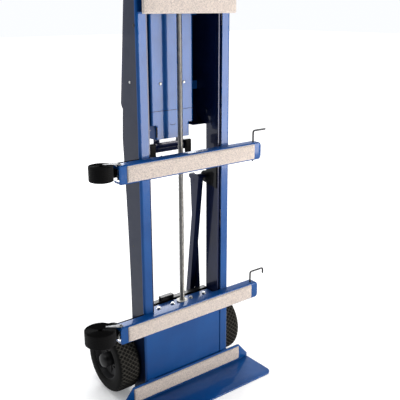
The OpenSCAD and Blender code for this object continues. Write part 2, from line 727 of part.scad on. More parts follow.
module left_support_wheel() mirror([1, 0, 0]) small_wheel();
module leg_rods() dark_paint() both_sides() translate([0, crank_y, crank_z]) rotate([-rod_tilt, 0, 0])
    difference() {
        union() {
            block([rod_x0, -rod_d / 2, -rod_l], [rod_x0 + rod_w, rod_d / 2, 0]);
            rod_x(rod_x0, rod_x0 + rod_w, rod_d / 2);
        }
        rod_x(rod_x0 - 1, rod_x0 + rod_w + 1, crank_pin_r + run_gap);
    }

left_rail();
right_rail();
slide_blocks();
axle_plates();
axle();
axle_fittings();
crossmembers();
screw_bearings();
drive_case();
drive_belt();
motor();
motor_cover();
gearbox_cover();
motor_mount();
bumpers();
rear_housing();
leg_brackets();
handle();
left_grip();
right_grip();
control_box();
cover_screws();
battery();
rocker_switch();
lead_screw();
screw_pulley();
motor_pulley();
left_upright();
right_upright();
lower_panel();
nut_bracket();
lead_nut();
toe_plate();
toe_pad();
mid_bar();
mid_pad();
low_bar();
low_pad();
top_plate();
top_pad();
frame_bolts();
mid_strap();
low_strap();
mid_buckle();
low_buckle();
mid_cam_lever();
low_cam_lever();
mid_hook();
low_hook();
left_tyre();
left_rim();
right_tyre();
right_rim();
support_legs();
left_support_wheel();
right_support_wheel();
leg_rods();
rod_guides();
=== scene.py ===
# %% [markdown]
# # A battery-powered stair-climbing hand truck
# A lift frame with a toe plate, carpeted strap bars and webbing straps slides on a wheeled chassis.
# One long lead screw moves it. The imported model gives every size; this lesson gives each piece its
# final surface and its finish.

# %% Load the frame
import bmesh
import bpy
import json
import math
import numpy as np
from mathutils import Euler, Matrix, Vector


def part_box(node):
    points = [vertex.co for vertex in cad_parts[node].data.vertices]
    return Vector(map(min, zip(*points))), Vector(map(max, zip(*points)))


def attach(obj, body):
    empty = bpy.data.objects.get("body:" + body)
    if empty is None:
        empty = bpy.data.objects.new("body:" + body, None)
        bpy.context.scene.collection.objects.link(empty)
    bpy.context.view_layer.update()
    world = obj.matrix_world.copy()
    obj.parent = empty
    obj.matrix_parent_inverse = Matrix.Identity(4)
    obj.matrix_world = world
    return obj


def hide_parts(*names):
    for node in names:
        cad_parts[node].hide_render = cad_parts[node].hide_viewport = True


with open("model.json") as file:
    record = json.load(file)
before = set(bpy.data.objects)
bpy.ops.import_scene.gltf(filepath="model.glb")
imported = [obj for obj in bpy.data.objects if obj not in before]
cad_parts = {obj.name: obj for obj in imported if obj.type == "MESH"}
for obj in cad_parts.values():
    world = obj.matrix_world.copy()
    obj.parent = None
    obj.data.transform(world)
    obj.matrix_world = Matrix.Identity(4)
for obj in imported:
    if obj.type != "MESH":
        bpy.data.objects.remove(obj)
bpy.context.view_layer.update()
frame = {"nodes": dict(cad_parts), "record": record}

MM = 0.001
TURN = 2 * math.pi
node_of = frame["nodes"]

# %% [markdown]
# ## Camera
# The camera stands in front of the truck, to its left and a little above the middle, and looks
# slightly down. A long lens keeps the uprights almost parallel.

# %% Camera
def make_camera(place, yaw_deg, pitch_deg, roll_deg, lens_mm):
    """Starts from looking along +Y, turns yaw to the right about Z and tips pitch downwards."""
    data = bpy.data.cameras.new("camera")
    data.lens = lens_mm
    data.sensor_width = 36
    data.clip_end = 60
    camera = bpy.data.objects.new("camera", data)
    bpy.context.scene.collection.objects.link(camera)
    camera.location = place
    camera.rotation_euler = Euler((math.radians(90 - pitch_deg), math.radians(roll_deg),
                                   -math.radians(yaw_deg)), "XYZ")
    bpy.context.scene.camera = camera
    return camera

make_camera((-1.3295, -1.7695, 1.4085), 38.15, 16.71, 0.12, 57.6)

# %% [markdown]
# ## Colours
# A colour is written as the sRGB hex value that a paint chart gives, and one function turns it into
# the linear numbers that the shader needs.

# %% Colours
def linear(hex_colour, alpha=1.0):
    """sRGB to linear: c/12.92 for dark values, ((c + 0.055) / 1.055)^2.4 for the rest."""
    c = np.array([int(hex_colour[i:i + 2], 16) for i in (1, 3, 5)]) / 255
    c = np.where(c <= 0.04045, c / 12.92, ((c + 0.055) / 1.055) ** 2.4)
    return (*c.tolist(), alpha)

# %% [markdown]
# ## Nodes
# A material is a small graph. One function adds a node with its settings and links, so that a
# material reads as a list of what feeds what. A pattern's scale is one over its real size in metres.

# %% Adding and linking nodes
def link(node, **links):
    """Links sockets, or the first outputs of nodes, into the named inputs; i2 means input number 2."""
    for key, source in links.items():
        socket = node.inputs[int(key[1:]) if key[1:].isdigit() else key.replace("_", " ")]
        out = source if isinstance(source, bpy.types.NodeSocket) else source.outputs[0]
        node.id_data.links.new(out, socket)

def add(tree, kind, settings=None, **links):
    """Adds a node. Settings are inputs by name or number, properties, or stops of a colour ramp."""
    made = tree.nodes.new(kind)
    for key, value in (settings or {}).items():
        if key == "stops":
            held = made.color_ramp.elements
            for k, (place, colour) in enumerate(value):
                stop = held[k] if k < 2 else held.new(1.0)
                stop.position, stop.color = place, linear(colour)
        elif isinstance(key, int) or key in made.inputs:
            made.inputs[key].default_value = value
        else:
            setattr(made, key, value)
    link(made, **links)
    return made

# %% New materials and copies of them
def new_material(name, settings):
    """A material with only a Principled shader. Returns the material, its tree and the shader."""
    made = bpy.data.materials.new(name)
    made.use_nodes = True
    tree = made.node_tree
    tree.nodes.clear()
    shader = add(tree, "ShaderNodeBsdfPrincipled", settings)
    add(tree, "ShaderNodeOutputMaterial", Surface=shader)
    return made, tree, shader

def over(base, name, hex_colour, mask_of):
    """A copy of a material with another colour wherever mask_of(tree) says so."""
    made = base.copy()
    made.name = name
    tree = made.node_tree
    shader = next(node for node in tree.nodes if node.type == "BSDF_PRINCIPLED")
    under = shader.inputs["Base Color"].links[0].from_socket
    mix = add(tree, "ShaderNodeMix", {"data_type": "RGBA", 7: linear(hex_colour)}, i0=mask_of(tree), i6=under)
    link(shader, Base_Color=mix.outputs[2])
    return made

# %% [markdown]
# ## Gloss powder coat
# The frame is folded steel sheet with a deep blue metallic powder coat. Powder is sprayed dry and
# baked, so it flows to a glossy skin with a slight orange peel, and fine flakes under the clear layer
# tint whatever it mirrors. A metallic base gives the tinted reflection and a coat gives the pale one.

# %% Paints
def powder_coat(name, dark, light, metallic, roughness, coat, peel_mm=5.0):
    """Tint drifts over the sheet, flakes vary it, broad buckles and fine peel bend what it mirrors."""
    made, tree, shader = new_material(name, {
        "Metallic": metallic, "Roughness": roughness, "Specular IOR Level": 0.1,
        "Coat Weight": coat, "Coat Roughness": 0.05, "Coat IOR": 1.5})
    at = add(tree, "ShaderNodeTexCoord").outputs["Object"]
    drift = add(tree, "ShaderNodeTexNoise", {"Scale": 1 / (180 * MM), "Detail": 3}, Vector=at)
    flakes = add(tree, "ShaderNodeTexNoise", {"Scale": 1 / (1.6 * MM), "Detail": 1}, Vector=at)
    blend = add(tree, "ShaderNodeMath", {"operation": "MULTIPLY_ADD", 1: 0.35}, i0=flakes, i2=drift)
    colour = add(tree, "ShaderNodeValToRGB", {"stops": [(0.45, dark), (0.9, light)]}, Fac=blend)
    scuffs = add(tree, "ShaderNodeTexNoise", {"Scale": 1 / (60 * MM), "Detail": 6, "Roughness": 0.7},
                 Vector=at)
    rough = add(tree, "ShaderNodeMapRange", {"From Min": 0.45, "From Max": 0.75,
                "To Min": roughness, "To Max": roughness + 0.12}, Value=scuffs)
    sheet = add(tree, "ShaderNodeTexNoise", {"Scale": 1 / (170 * MM)}, Vector=at)
    peel = add(tree, "ShaderNodeTexNoise", {"Scale": 1 / (peel_mm * MM), "Detail": 1}, Vector=at)
    buckled = add(tree, "ShaderNodeBump", {"Distance": 2.5 * MM, "Strength": 0.6}, Height=sheet)
    peeled = add(tree, "ShaderNodeBump", {"Distance": 0.012 * peel_mm * MM, "Strength": 0.25},
                 Height=peel, Normal=buckled)
    link(shader, Base_Color=colour, Roughness=rough, Normal=peeled)
    return made

blue_paint = powder_coat("powder_coat_blue", "#013a76", "#024788", 0.15, 0.4, 0.32)
navy_paint = powder_coat("powder_coat_navy", "#08112e", "#0d1a40", 0.3, 0.3, 0.4)
black_paint = powder_coat("powder_coat_black", "#050608", "#0b0c10", 0.0, 0.42, 0.25)

# %% [markdown]
# ## Plated, bright and blackened steel
# Bolts and tubes are zinc plated: pale and slightly cloudy. The strap clips have the same plating,
# dulled by handling. The screw is rolled from bright bar and oiled, so it is darker. The hooks are
# wire with a black oxide skin.

# %% Metals
def worked_steel(name, dark, light, roughness, grain_mm, metallic=1.0):
    """Clouds of plating in the colour, and a finer grain in the roughness and the bump."""
    made, tree, shader = new_material(name, {"Metallic": metallic, "Roughness": roughness})
    at = add(tree, "ShaderNodeTexCoord").outputs["Object"]
    clouds = add(tree, "ShaderNodeTexNoise", {"Scale": 1 / (14 * MM), "Detail": 4, "Roughness": 0.6},
                 Vector=at)
    grain = add(tree, "ShaderNodeTexNoise", {"Scale": 1 / (grain_mm * MM), "Detail": 3}, Vector=at)
    link(shader,
         Base_Color=add(tree, "ShaderNodeValToRGB", {"stops": [(0.35, dark), (0.65, light)]}, Fac=clouds),
         Roughness=add(tree, "ShaderNodeMapRange", {"To Min": roughness - 0.06,
                       "To Max": roughness + 0.12}, Value=grain),
         Normal=add(tree, "ShaderNodeBump", {"Distance": 0.04 * MM, "Strength": 0.3}, Height=grain))
    return made

zinc = worked_steel("steel_zinc_plated", "#a3a6a8", "#c9cbca", 0.3, 2.5)
dulled_zinc = worked_steel("steel_zinc_dulled", "#5d5e60", "#7c7d7e", 0.45, 2.0)
screw_steel = worked_steel("steel_rolled_oiled", "#8e8d8a", "#aaa9a6", 0.3, 1.5)
black_oxide = worked_steel("steel_black_oxide", "#26272a", "#3b3c40", 0.4, 2.0, metallic=0.7)

# %% [markdown]
# ## Carpet
# The strips are cut-pile carpet in beige, pinkish grey and off-white yarns, glued on so that the load
# isn't scratched. Each tuft is 2 to 3 mm across, so the colour changes from tuft to tuft.

# %% Carpet
def cut_pile(name, tones, tuft_mm=2.4):
    """Each Voronoi cell is one tuft with its own yarn colour; finer noise is the cut fibre ends."""
    made, tree, shader = new_material(name, {"Roughness": 0.95, "Sheen Weight": 0.35,
                                             "Sheen Roughness": 0.6})
    at = add(tree, "ShaderNodeTexCoord").outputs["Object"]
    tufts = add(tree, "ShaderNodeTexVoronoi", {"Scale": 1 / (tuft_mm * MM)}, Vector=at)
    pick = add(tree, "ShaderNodeSeparateColor", Color=tufts.outputs["Color"])
    stops = [(k / len(tones), tone) for k, tone in enumerate(tones)]
    yarn = add(tree, "ShaderNodeValToRGB", {"stops": stops}, Fac=pick)
    yarn.color_ramp.interpolation = "CONSTANT"
    fibre = add(tree, "ShaderNodeTexNoise", {"Scale": 1 / (1.1 * MM), "Detail": 3}, Vector=at)
    shade = add(tree, "ShaderNodeMapRange", {"To Min": 0.78, "To Max": 1.12}, Value=fibre)
    shaded = add(tree, "ShaderNodeMix", {"data_type": "RGBA", "blend_type": "MULTIPLY", "Factor": 1.0},
                 i6=yarn, i7=shade)
    domes = add(tree, "ShaderNodeBump", {"Distance": 1.6 * MM, "Strength": 0.7},
                Height=tufts.outputs["Distance"])
    cut_ends = add(tree, "ShaderNodeBump", {"Distance": 0.8 * MM, "Strength": 0.6}, Height=fibre,
                   Normal=domes)
    link(shader, Base_Color=shaded.outputs[2], Normal=cut_ends)
    return made

carpet = cut_pile("carpet_cut_pile", ["#cfc4bc", "#c4b9b3", "#d8ccc3", "#b8aeaa", "#cbc0b9", "#ada4a2"])

# %% [markdown]
# ## Webbing
# The straps are 50 mm polyester webbing. It is woven with ribs across its width, which catch the light
# as fine lines, and it has the slight sheen of a filament yarn.

# %% Webbing
def woven_web(name, dark, light, rib_mm=3.0):
    """Ribs run round the strap and threads along it; both come from the piece's own UV in metres."""
    made, tree, shader = new_material(name, {"Roughness": 0.7, "Sheen Weight": 0.06,
                                             "Specular IOR Level": 0.06})
    at = add(tree, "ShaderNodeUVMap", {"uv_map": "cloth"})
    ribs = add(tree, "ShaderNodeTexWave", {"Scale": 2 / (rib_mm * MM) / TURN, "bands_direction": "X",
               "Distortion": 0.4, "Detail": 1.0}, Vector=at)
    threads = add(tree, "ShaderNodeTexWave", {"Scale": 1 / (rib_mm * MM) / TURN, "bands_direction": "Y",
                  "Distortion": 0.2}, Vector=at)
    both = add(tree, "ShaderNodeMath", {"operation": "MULTIPLY"}, i0=ribs.outputs[1], i1=threads.outputs[1])
    link(shader,
         Base_Color=add(tree, "ShaderNodeValToRGB", {"stops": [(0.1, dark), (0.9, light)]}, Fac=both),
         Normal=add(tree, "ShaderNodeBump", {"Distance": 0.5 * MM, "Strength": 0.8}, Height=both))
    return made

webbing = woven_web("polyester_webbing_black", "#020203", "#08080a")

# %% [markdown]
# ## Rubber, plastics and nylon
# Tyres and grips are moulded rubber: nearly black, dull and a little dusty. The rims, battery and
# switch box are moulded plastic with a spark-eroded grain. The wear blocks and the lead nut are nylon.

# %% Mouldings
def moulding(name, dark, light, roughness, grain_mm, depth_mm, cloud_mm=40, coat=0.0, gloss=0.15):
    """A fine moulded grain in the bump, and broad cloudy handling marks in colour and gloss."""
    made, tree, shader = new_material(name, {"Roughness": roughness, "Coat Weight": coat,
                                             "Specular IOR Level": gloss})
    at = add(tree, "ShaderNodeTexCoord").outputs["Object"]
    clouds = add(tree, "ShaderNodeTexNoise", {"Scale": 1 / (cloud_mm * MM), "Detail": 5,
                 "Roughness": 0.65}, Vector=at)
    grain = add(tree, "ShaderNodeTexNoise", {"Scale": 1 / (grain_mm * MM)}, Vector=at)
    link(shader,
         Base_Color=add(tree, "ShaderNodeValToRGB", {"stops": [(0.35, dark), (0.65, light)]}, Fac=clouds),
         Roughness=add(tree, "ShaderNodeMapRange", {"To Min": roughness - 0.08,
                       "To Max": roughness + 0.12}, Value=clouds),
         Normal=add(tree, "ShaderNodeBump", {"Distance": depth_mm * MM, "Strength": 0.5}, Height=grain))
    return made

tyre_rubber = moulding("rubber_tyre_moulded", "#040405", "#0a0a09", 0.66, 2.0, 0.25, gloss=0.08)
soft_rubber = moulding("rubber_grip_moulded", "#070708", "#101012", 0.55, 1.5, 0.2)
black_abs = moulding("abs_black_grained", "#070709", "#0f0f12", 0.45, 1.8, 0.15, gloss=0.3)
nylon = moulding("nylon_natural", "#d9d5c9", "#ece9df", 0.35, 3.0, 0.05, 25, gloss=0.5)
red_switch = moulding("polycarbonate_red_gloss", "#8e1109", "#a81a10", 0.2, 4.0, 0.02, 20, coat=0.5,
                      gloss=0.5)

# %% [markdown]
# ## Painted shade on the sides of the uprights
# A dark slate colour, painted shade, covers the outer side of each upright, behind the blue front
# corner. It lies on the faces that look sideways, so the direction of the surface says where it is.

# %% Painted side shade over the blue paint
half_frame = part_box("right_upright")[1][0]
FRONT_BAND = 9 * MM

def sideways_shade_mask(tree):
    """1 on faces with |normal x| > 0.7 that lie at the frame's full width and behind the band: painted shade.
    """
    here = add(tree, "ShaderNodeTexCoord")
    facing = add(tree, "ShaderNodeSeparateXYZ", Vector=here.outputs["Normal"])
    place = add(tree, "ShaderNodeSeparateXYZ", Vector=here.outputs["Object"])
    mask = add(tree, "ShaderNodeMath", {"operation": "GREATER_THAN", 1: FRONT_BAND}, i0=place.outputs[1])
    for across, limit in ((facing, 0.7), (place, half_frame - 1 * MM)):
        size = add(tree, "ShaderNodeMath", {"operation": "ABSOLUTE"}, i0=across)
        past = add(tree, "ShaderNodeMath", {"operation": "GREATER_THAN", 1: limit}, i0=size)
        mask = add(tree, "ShaderNodeMath", {"operation": "MULTIPLY"}, i0=mask, i1=past)
    return mask

# 0e1a34 is painted shade on the sideways faces of the uprights.
side_shade_paint = over(blue_paint, "powder_coat_with_painted_side_shade", "#0e1a34", sideways_shade_mask)

# %% [markdown]
# ## Finishes on the carried-over pieces
# Plates, covers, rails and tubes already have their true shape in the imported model, so they only need
# their finish. Each material slot of the record has one finish here.

# %% Finish of each slot
FINISH = {"blue_paint": blue_paint, "dark_paint": navy_paint, "black_steel": black_paint,
          "zinc_steel": zinc, "screw_steel": screw_steel, "hook_wire": black_oxide,
          "carpet": carpet, "webbing": webbing, "tyre_rubber": tyre_rubber,
          "belt_rubber": soft_rubber, "black_plastic": black_abs, "white_nylon": nylon,
          "switch_red": red_switch}
slot_of = {part["node"]: part["material_slot"] for part in frame["record"]["subparts"]}
# The uprights get the blue paint with painted shade on their sideways faces.
for name, thing in node_of.items():
    for held in thing.material_slots:
        held.material = side_shade_paint if name.endswith("_upright") else FINISH[slot_of[name]]
print("finishes set on", len(node_of), "nodes")

# %% [markdown]
# ## Surfaces from two parameters
# Every new piece is a grid of points: a profile carried along a path, or a profile turned about an
# axis. Quads join neighbours, and a fan to the middle closes an open end.

# %% Grids and paths
def grid_faces(rows, cols, wrap_rows, wrap_cols):
    """Quad (i, j), (i+1, j), (i+1, j+1), (i, j+1) for each cell, with the last joined to the first."""
    i, j = np.meshgrid(np.arange(rows - (not wrap_rows)), np.arange(cols - (not wrap_cols)), indexing="ij")
    i1, j1 = (i + 1) % rows, (j + 1) % cols
    return np.stack([i * cols + j, i1 * cols + j, i1 * cols + j1, i * cols + j1], -1).reshape(-1, 4)

def skin(points, wrap_rows=False, wrap_cols=True, caps=True):
    """A grid of points [row, column, xyz] with its first and last rows closed by a fan."""
    rows, cols = points.shape[:2]
    vertices = points.reshape(-1, 3)
    faces = grid_faces(rows, cols, wrap_rows, wrap_cols).tolist()
    if caps and not wrap_rows:
        start = len(vertices)
        vertices = np.vstack([vertices, points[0].mean(0), points[-1].mean(0)])
        ring = np.arange(cols)
        after = (ring + 1) % cols
        last = (rows - 1) * cols
        faces += np.stack([after, ring, np.full(cols, start)], -1).tolist()
        faces += np.stack([last + ring, last + after, np.full(cols, start + 1)], -1).tolist()
    return vertices, faces

def carried(path, section, up, size=1.0):
    """Path + size * (a * side + b * top), where side = tangent x up and top = side x tangent."""
    path, section = np.asarray(path, float), np.asarray(section, float)
    tangent = np.gradient(path, axis=0)
    tangent /= np.linalg.norm(tangent, axis=1, keepdims=True)
    side = np.cross(tangent, up)
    side /= np.linalg.norm(side, axis=1, keepdims=True)
    top = np.cross(side, tangent)
    spread = section[None, :, :1] * side[:, None] + section[None, :, 1:] * top[:, None]
    size = np.broadcast_to(size, len(path))
    return skin(path[:, None] + size[:, None, None] * spread)

# %% Turned profiles, rounded boxes and straight runs
AXES = {name: np.roll(np.eye(3), -k, axis=0) for k, name in enumerate("XYZ")}

def turned(profile, axis, centre, steps=48, closed=False):
    """Profile of (radius, along): centre + along * axis + radius * (cos a, sin a) on the other two."""
    profile = np.asarray(profile, float)
    angle = np.linspace(0, TURN, steps, endpoint=False)
    along, first, second = AXES[axis]
    ring = np.cos(angle)[:, None] * first + np.sin(angle)[:, None] * second
    points = np.asarray(centre) + profile[:, None, 1:2] * along + profile[:, None, :1] * ring[None]
    return skin(points, wrap_rows=closed, caps=not closed)

def rounded_box(low, high, radius, steps=4):
    """Each point of a small ball is pushed out to the box corner of its own octant."""
    low, high = np.asarray(low, float), np.asarray(high, float)
    centre, reach = (low + high) / 2, (high - low) / 2 - radius
    quarter = np.linspace(0, 90, steps + 1)
    around = np.radians(np.concatenate([quarter + 90 * k for k in range(4)]))
    sx = np.repeat([1, -1, -1, 1], steps + 1)
    sy = np.repeat([1, 1, -1, -1], steps + 1)
    rise = np.radians(np.concatenate([quarter - 90, quarter]))
    sz = np.repeat([-1, 1], steps + 1)
    ball = np.stack(np.broadcast_arrays(np.cos(rise)[:, None] * np.cos(around),
                    np.cos(rise)[:, None] * np.sin(around), np.sin(rise)[:, None]), -1)
    octant = np.stack(np.broadcast_arrays(sx[None], sy[None], sz[:, None]), -1)
    return skin(centre + octant * reach + radius * ball)

def along_x(x0, x1, outline, steps=6):
    """An outline of (y, z) points carried straight from x0 to x1."""
    x = np.linspace(x0, x1, steps)[:, None]
    return skin(np.stack(np.broadcast_arrays(x, outline[:, 0], outline[:, 1]), -1))

def mirrored(part):
    """The part's mirror image across the centre plane."""
    return part[0] * [-1, 1, 1], part[1]

# %% [markdown]
# ## From points to a finished piece
# One function joins the parts of a piece into a mesh, closes the poles, turns the faces outwards,
# keeps edges sharper than a given angle, and hangs the piece on its body.

# %% Making a piece
MERGE = 0.001 * MM

def piece(name, parts, body, slot_name, stands_for=(), sharp_deg=35, uv=None, finish=None):
    """Joins (vertices, faces) parts into one object at the origin and says what it rides on."""
    vertices, faces, start = [], [], 0
    for part_vertices, part_faces in parts:
        vertices.append(part_vertices)
        faces += [[start + k for k in face] for face in part_faces]
        start += len(part_vertices)
    mesh = bpy.data.meshes.new(name)
    mesh.from_pydata(np.vstack(vertices).tolist(), [], faces)
    if uv is not None:
        layer = mesh.uv_layers.new(name="cloth")
        loops = np.empty(len(mesh.loops), int)
        mesh.loops.foreach_get("vertex_index", loops)
        layer.data.foreach_set("uv", uv[loops].astype(np.float32).ravel())
    work = bmesh.new()
    work.from_mesh(mesh)
    bmesh.ops.remove_doubles(work, verts=work.verts, dist=MERGE)
    bmesh.ops.dissolve_degenerate(work, edges=work.edges, dist=MERGE)
    bmesh.ops.recalc_face_normals(work, faces=work.faces)
    work.to_mesh(mesh)
    work.free()
    mesh.polygons.foreach_set("use_smooth", np.ones(len(mesh.polygons), bool))
    mesh.set_sharp_from_angle(angle=math.radians(sharp_deg))
    made = bpy.data.objects.new(name, mesh)
    bpy.context.scene.collection.objects.link(made)
    mesh.materials.append(finish or FINISH[slot_name])
    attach(made, body)
    if stands_for:
        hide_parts(*stands_for)
    print(f"{name}: {len(mesh.polygons)} faces")
    return made

# %% Outlines
def arc(centre, radius, start_deg, end_deg, steps):
    """Points of a circular arc in a plane."""
    a = np.radians(np.linspace(start_deg, end_deg, steps))
    return np.stack([centre[0] + radius * np.cos(a), centre[1] + radius * np.sin(a)], -1)

def circle(radius, steps=16):
    """A closed round section."""
    return arc((0, 0), radius, 0, 360, steps + 1)[:-1]

def distance_along(line):
    """The length of the line from its start to each of its points."""
    return np.concatenate([[0], np.cumsum(np.linalg.norm(np.diff(line, axis=0), axis=1))])

# %% [markdown]
# ## Lead screw
# The screw is a rolled trapezoid thread with four starts, so one turn lifts the frame 20 mm although
# the crests are only 5 mm apart. The radius is a function of height and angle: the height measured in
# crests minus four times the turn gives the place on the flank, so the surface closes on itself.

# %% Thread
def threaded_bar(centre_xy, z0, z1, crest_r, root_r, pitch, starts, steps=24, samples=7):
    """r = root + (crest - root) * clamp(2.2 - 3.4 |2 f - 1|), f = frac(z / pitch - starts * a / turn)."""
    z = np.arange(z0, z1, pitch / samples)
    angle = np.linspace(0, TURN, steps, endpoint=False)
    f = np.mod(z[:, None] / pitch - starts * angle / TURN, 1.0)
    r = root_r + (crest_r - root_r) * np.clip(2.2 - 3.4 * np.abs(2 * f - 1), 0, 1)
    points = np.stack([centre_xy[0] + r * np.cos(angle), centre_xy[1] + r * np.sin(angle),
                       np.broadcast_to(z[:, None], r.shape)], -1)
    return skin(points)

screw_low, screw_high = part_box("lead_screw")
screw_r = (screw_high[0] - screw_low[0]) / 2
screw_xy = (0.0, (screw_high[1] + screw_low[1]) / 2)
foot_h, journal_h = 12 * MM, 24 * MM
foot_z, journal_z = screw_low[2], screw_high[2] - journal_h
thread = threaded_bar(screw_xy, foot_z + foot_h, journal_z, screw_r, screw_r - 1.8 * MM, 5 * MM, 4)
plain_foot = turned([(screw_r, 0), (screw_r, foot_h)], "Z", (*screw_xy, foot_z))
journal = turned([(screw_r - 1.5 * MM, 0), (screw_r - 1.5 * MM, journal_h)], "Z", (*screw_xy, journal_z))
piece("thread", [thread, plain_foot, journal], "screw", "screw_steel", ["lead_screw"], sharp_deg=50)

# %% [markdown]
# ## Strap bars
# Each bar is a channel pressed from sheet, with rounded folds and rounded corners at its ends. The
# channel's section runs along X; near an end its height shrinks along a quarter circle.

# %% Bars
def channel_section(depth, height, wall, fold_r, steps=5):
    """Outline in (depth, height): outer folds at the front, inner folds one wall inside, open behind."""
    h, inner_r = height / 2, fold_r - wall
    fold_x, fold_y = -depth + fold_r, h - fold_r
    outer = [[(0, -h)], arc((fold_x, -fold_y), fold_r, 270, 180, steps),
             arc((fold_x, fold_y), fold_r, 180, 90, steps), [(0, h)]]
    inside = [[(0, h - wall)], arc((fold_x, fold_y), inner_r, 90, 180, steps),
              arc((fold_x, -fold_y), inner_r, 180, 270, steps), [(0, -h + wall)]]
    return np.vstack(outer + inside)

def strap_bar(node):
    """Points (x, depth, z0 + height * s(x)); s = (h - r + sqrt(r^2 - d^2)) / h near the ends."""
    low, high = np.array(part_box(node)[0]), np.array(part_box(node)[1])
    end_r, h = 10 * MM, (high[2] - low[2]) / 2
    d = np.linspace(0, end_r, 7)
    x = np.concatenate([low[0] + end_r - d[::-1], [0], high[0] - end_r + d])
    inset = np.concatenate([d[::-1], [0], d])
    shrink = (h - end_r + np.sqrt(np.maximum(end_r ** 2 - inset ** 2, 0))) / h
    section = channel_section(high[1] - low[1], 2 * h, 3 * MM, 5 * MM)
    points = np.empty((len(x), len(section), 3))
    points[..., 0] = x[:, None]
    points[..., 1] = section[:, 0] + high[1]
    points[..., 2] = (low[2] + high[2]) / 2 + section[:, 1] * shrink[:, None]
    return skin(points, caps=False), points

def end_face(points, row, flip):
    """Closes a channel end with a strip of quads between its outer and its inner outline."""
    ring = points[row]
    half = len(ring) // 2
    strip = np.stack([ring[:half], ring[half:][::-1]])
    vertices, faces = skin(strip[:, ::-1] if flip else strip, wrap_cols=False, caps=False)
    return vertices, faces

for level in ("mid", "low"):
    body_part, points = strap_bar(level + "_bar")
    piece(level + "_channel", [body_part, end_face(points, 0, False), end_face(points, -1, True)],
          "lift_frame", "blue_paint", [level + "_bar"])

# %% [markdown]
# ## Carpet strips
# A strip is a slab of pile: flat where it is glued, and rounded over at its edges, where the tufts
# lean outwards. Its height over the glued face is a product of two flattened curves, and each point
# gets a small push of its own, as cut tufts do.

# %% Carpet strips
tufts = np.random.default_rng(7)

def pile_slab(low, high, cell=3.2 * MM, crown=10, ragged=0.45 * MM):
    """Height over the glued face = 0.93 t * (1 - |2u - 1|^crown)^(1/4) * the same of v, plus noise."""
    low, high = np.asarray(low, float), np.asarray(high, float)
    size = high - low
    counts = [max(int(round(size[k] / cell)), 8) for k in (0, 2)]
    u, v = [0.5 - 0.5 * np.sin(np.pi * (0.5 - np.linspace(0, 1, n))) for n in counts]
    u = 0.5 * u + 0.5 * np.linspace(0, 1, counts[0])
    v = 0.5 * v + 0.5 * np.linspace(0, 1, counts[1])
    rise = [np.maximum(1 - np.abs(2 * s - 1) ** crown, 0) ** 0.25 for s in (u, v)]
    lift = rise[0][:, None] * rise[1]
    push = tufts.normal(0, 1, lift.shape + (3,)) * ragged * (lift > 0)[..., None]
    front = np.empty(lift.shape + (3,))
    front[..., 0] = low[0] + u[:, None] * size[0]
    front[..., 1] = high[1] - lift * size[1] * 0.93
    front[..., 2] = low[2] + v * size[2]
    back = front.copy()
    back[..., 1] = high[1]
    front += push * [0.6, 0.8, 0.6]
    front[..., 1] = np.clip(front[..., 1], low[1], high[1])
    return [skin(front, wrap_cols=False, caps=False), skin(back[::-1], wrap_cols=False, caps=False)]

for level in ("top", "mid", "low", "toe"):
    strip = piece(level + "_carpet", pile_slab(*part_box(level + "_pad")), "lift_frame", "carpet",
                  [level + "_pad"], sharp_deg=80)

# %% [markdown]
# ## Tyres
# The tyres are solid rubber with a fine diamond tread over the crown. The tread is a function of two
# directions that run diagonally round the tyre: where either one passes a half, there is a groove.

# %% Tyres
def tyre_outline(radius, half_w, bead_r, crown_steps=44):
    """Closed (radius, along) loop: bulged sidewall, round shoulder, crown, and back along the bead."""
    shoulder = 20 * MM
    left = np.array([(bead_r, -half_w + 7 * MM), (bead_r + 6 * MM, -half_w + 2 * MM),
                     (bead_r + 16 * MM, -half_w), (radius - shoulder, -half_w)])
    bend = arc((-half_w + shoulder, radius - shoulder), shoulder, 180, 90, 9)[1:, ::-1]
    across = np.linspace(-half_w + shoulder, half_w - shoulder, crown_steps)[1:-1]
    crown = np.stack([np.full(len(across), radius), across], -1)
    side = np.vstack([left, bend])
    return np.vstack([side, crown, side[::-1] * [1, -1]])

def diamond_tyre(centre, radius, half_w, bead_r, diamonds=44, per=10, groove=3.0 * MM):
    """r = outline - groove * clamp(1.25 - t / 0.28), t = 2 |frac(diamonds * turn +- across / 20) - 1/2|."""
    outline = tyre_outline(radius, half_w, bead_r)
    angle = np.linspace(0, TURN, diamonds * per, endpoint=False)
    w, r = outline[None, :, 1], outline[None, :, 0]
    lean = w / (20 * MM)
    families = [np.abs(np.mod(angle[:, None] * diamonds / TURN + k * lean, 1) - 0.5) * 2 for k in (1, -1)]
    cut = np.clip(1.25 - np.minimum(*families) / 0.28, 0, 1)
    cut = cut * np.clip((half_w - 4 * MM - np.abs(w)) / (4 * MM), 0, 1) * (r > radius - 15 * MM)
    r = r - groove * cut
    points = np.stack([centre[0] + np.broadcast_to(w, r.shape), centre[1] + r * np.cos(angle)[:, None],
                       centre[2] + r * np.sin(angle)[:, None]], -1)
    return skin(points, wrap_rows=True), cut.ravel()

def in_groove(tree):
    """The mesh attribute that says how deep in a groove each point is."""
    return add(tree, "ShaderNodeAttribute", {"attribute_name": "groove"}).outputs["Fac"]

tread_rubber = over(tyre_rubber, "rubber_tyre_dusty_tread", "#454440", in_groove)
for side in ("left", "right"):
    low, high = (np.array(c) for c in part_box(side + "_tyre"))
    centre, half_w = (low + high) / 2, (high[0] - low[0]) / 2
    part, cut = diamond_tyre(centre, (high[2] - low[2]) / 2, half_w, 74 * MM)
    tyre = piece(side + "_tread", [part], side + "_wheel", "tyre_rubber", [side + "_tyre"],
                 finish=tread_rubber, sharp_deg=50)
    layer = tyre.data.attributes.new("groove", "FLOAT", "POINT")
    layer.data.foreach_set("value", cut.astype(np.float32))

# %% [markdown]
# ## Rims
# A rim is a moulded disc dished towards the outside, with a long hub on the axle and six ribs. Its
# section is turned about the axle, and the ribs and bolts are added to it. A thin domed cap snaps over
# the hub and hides the washer and the axle's end.

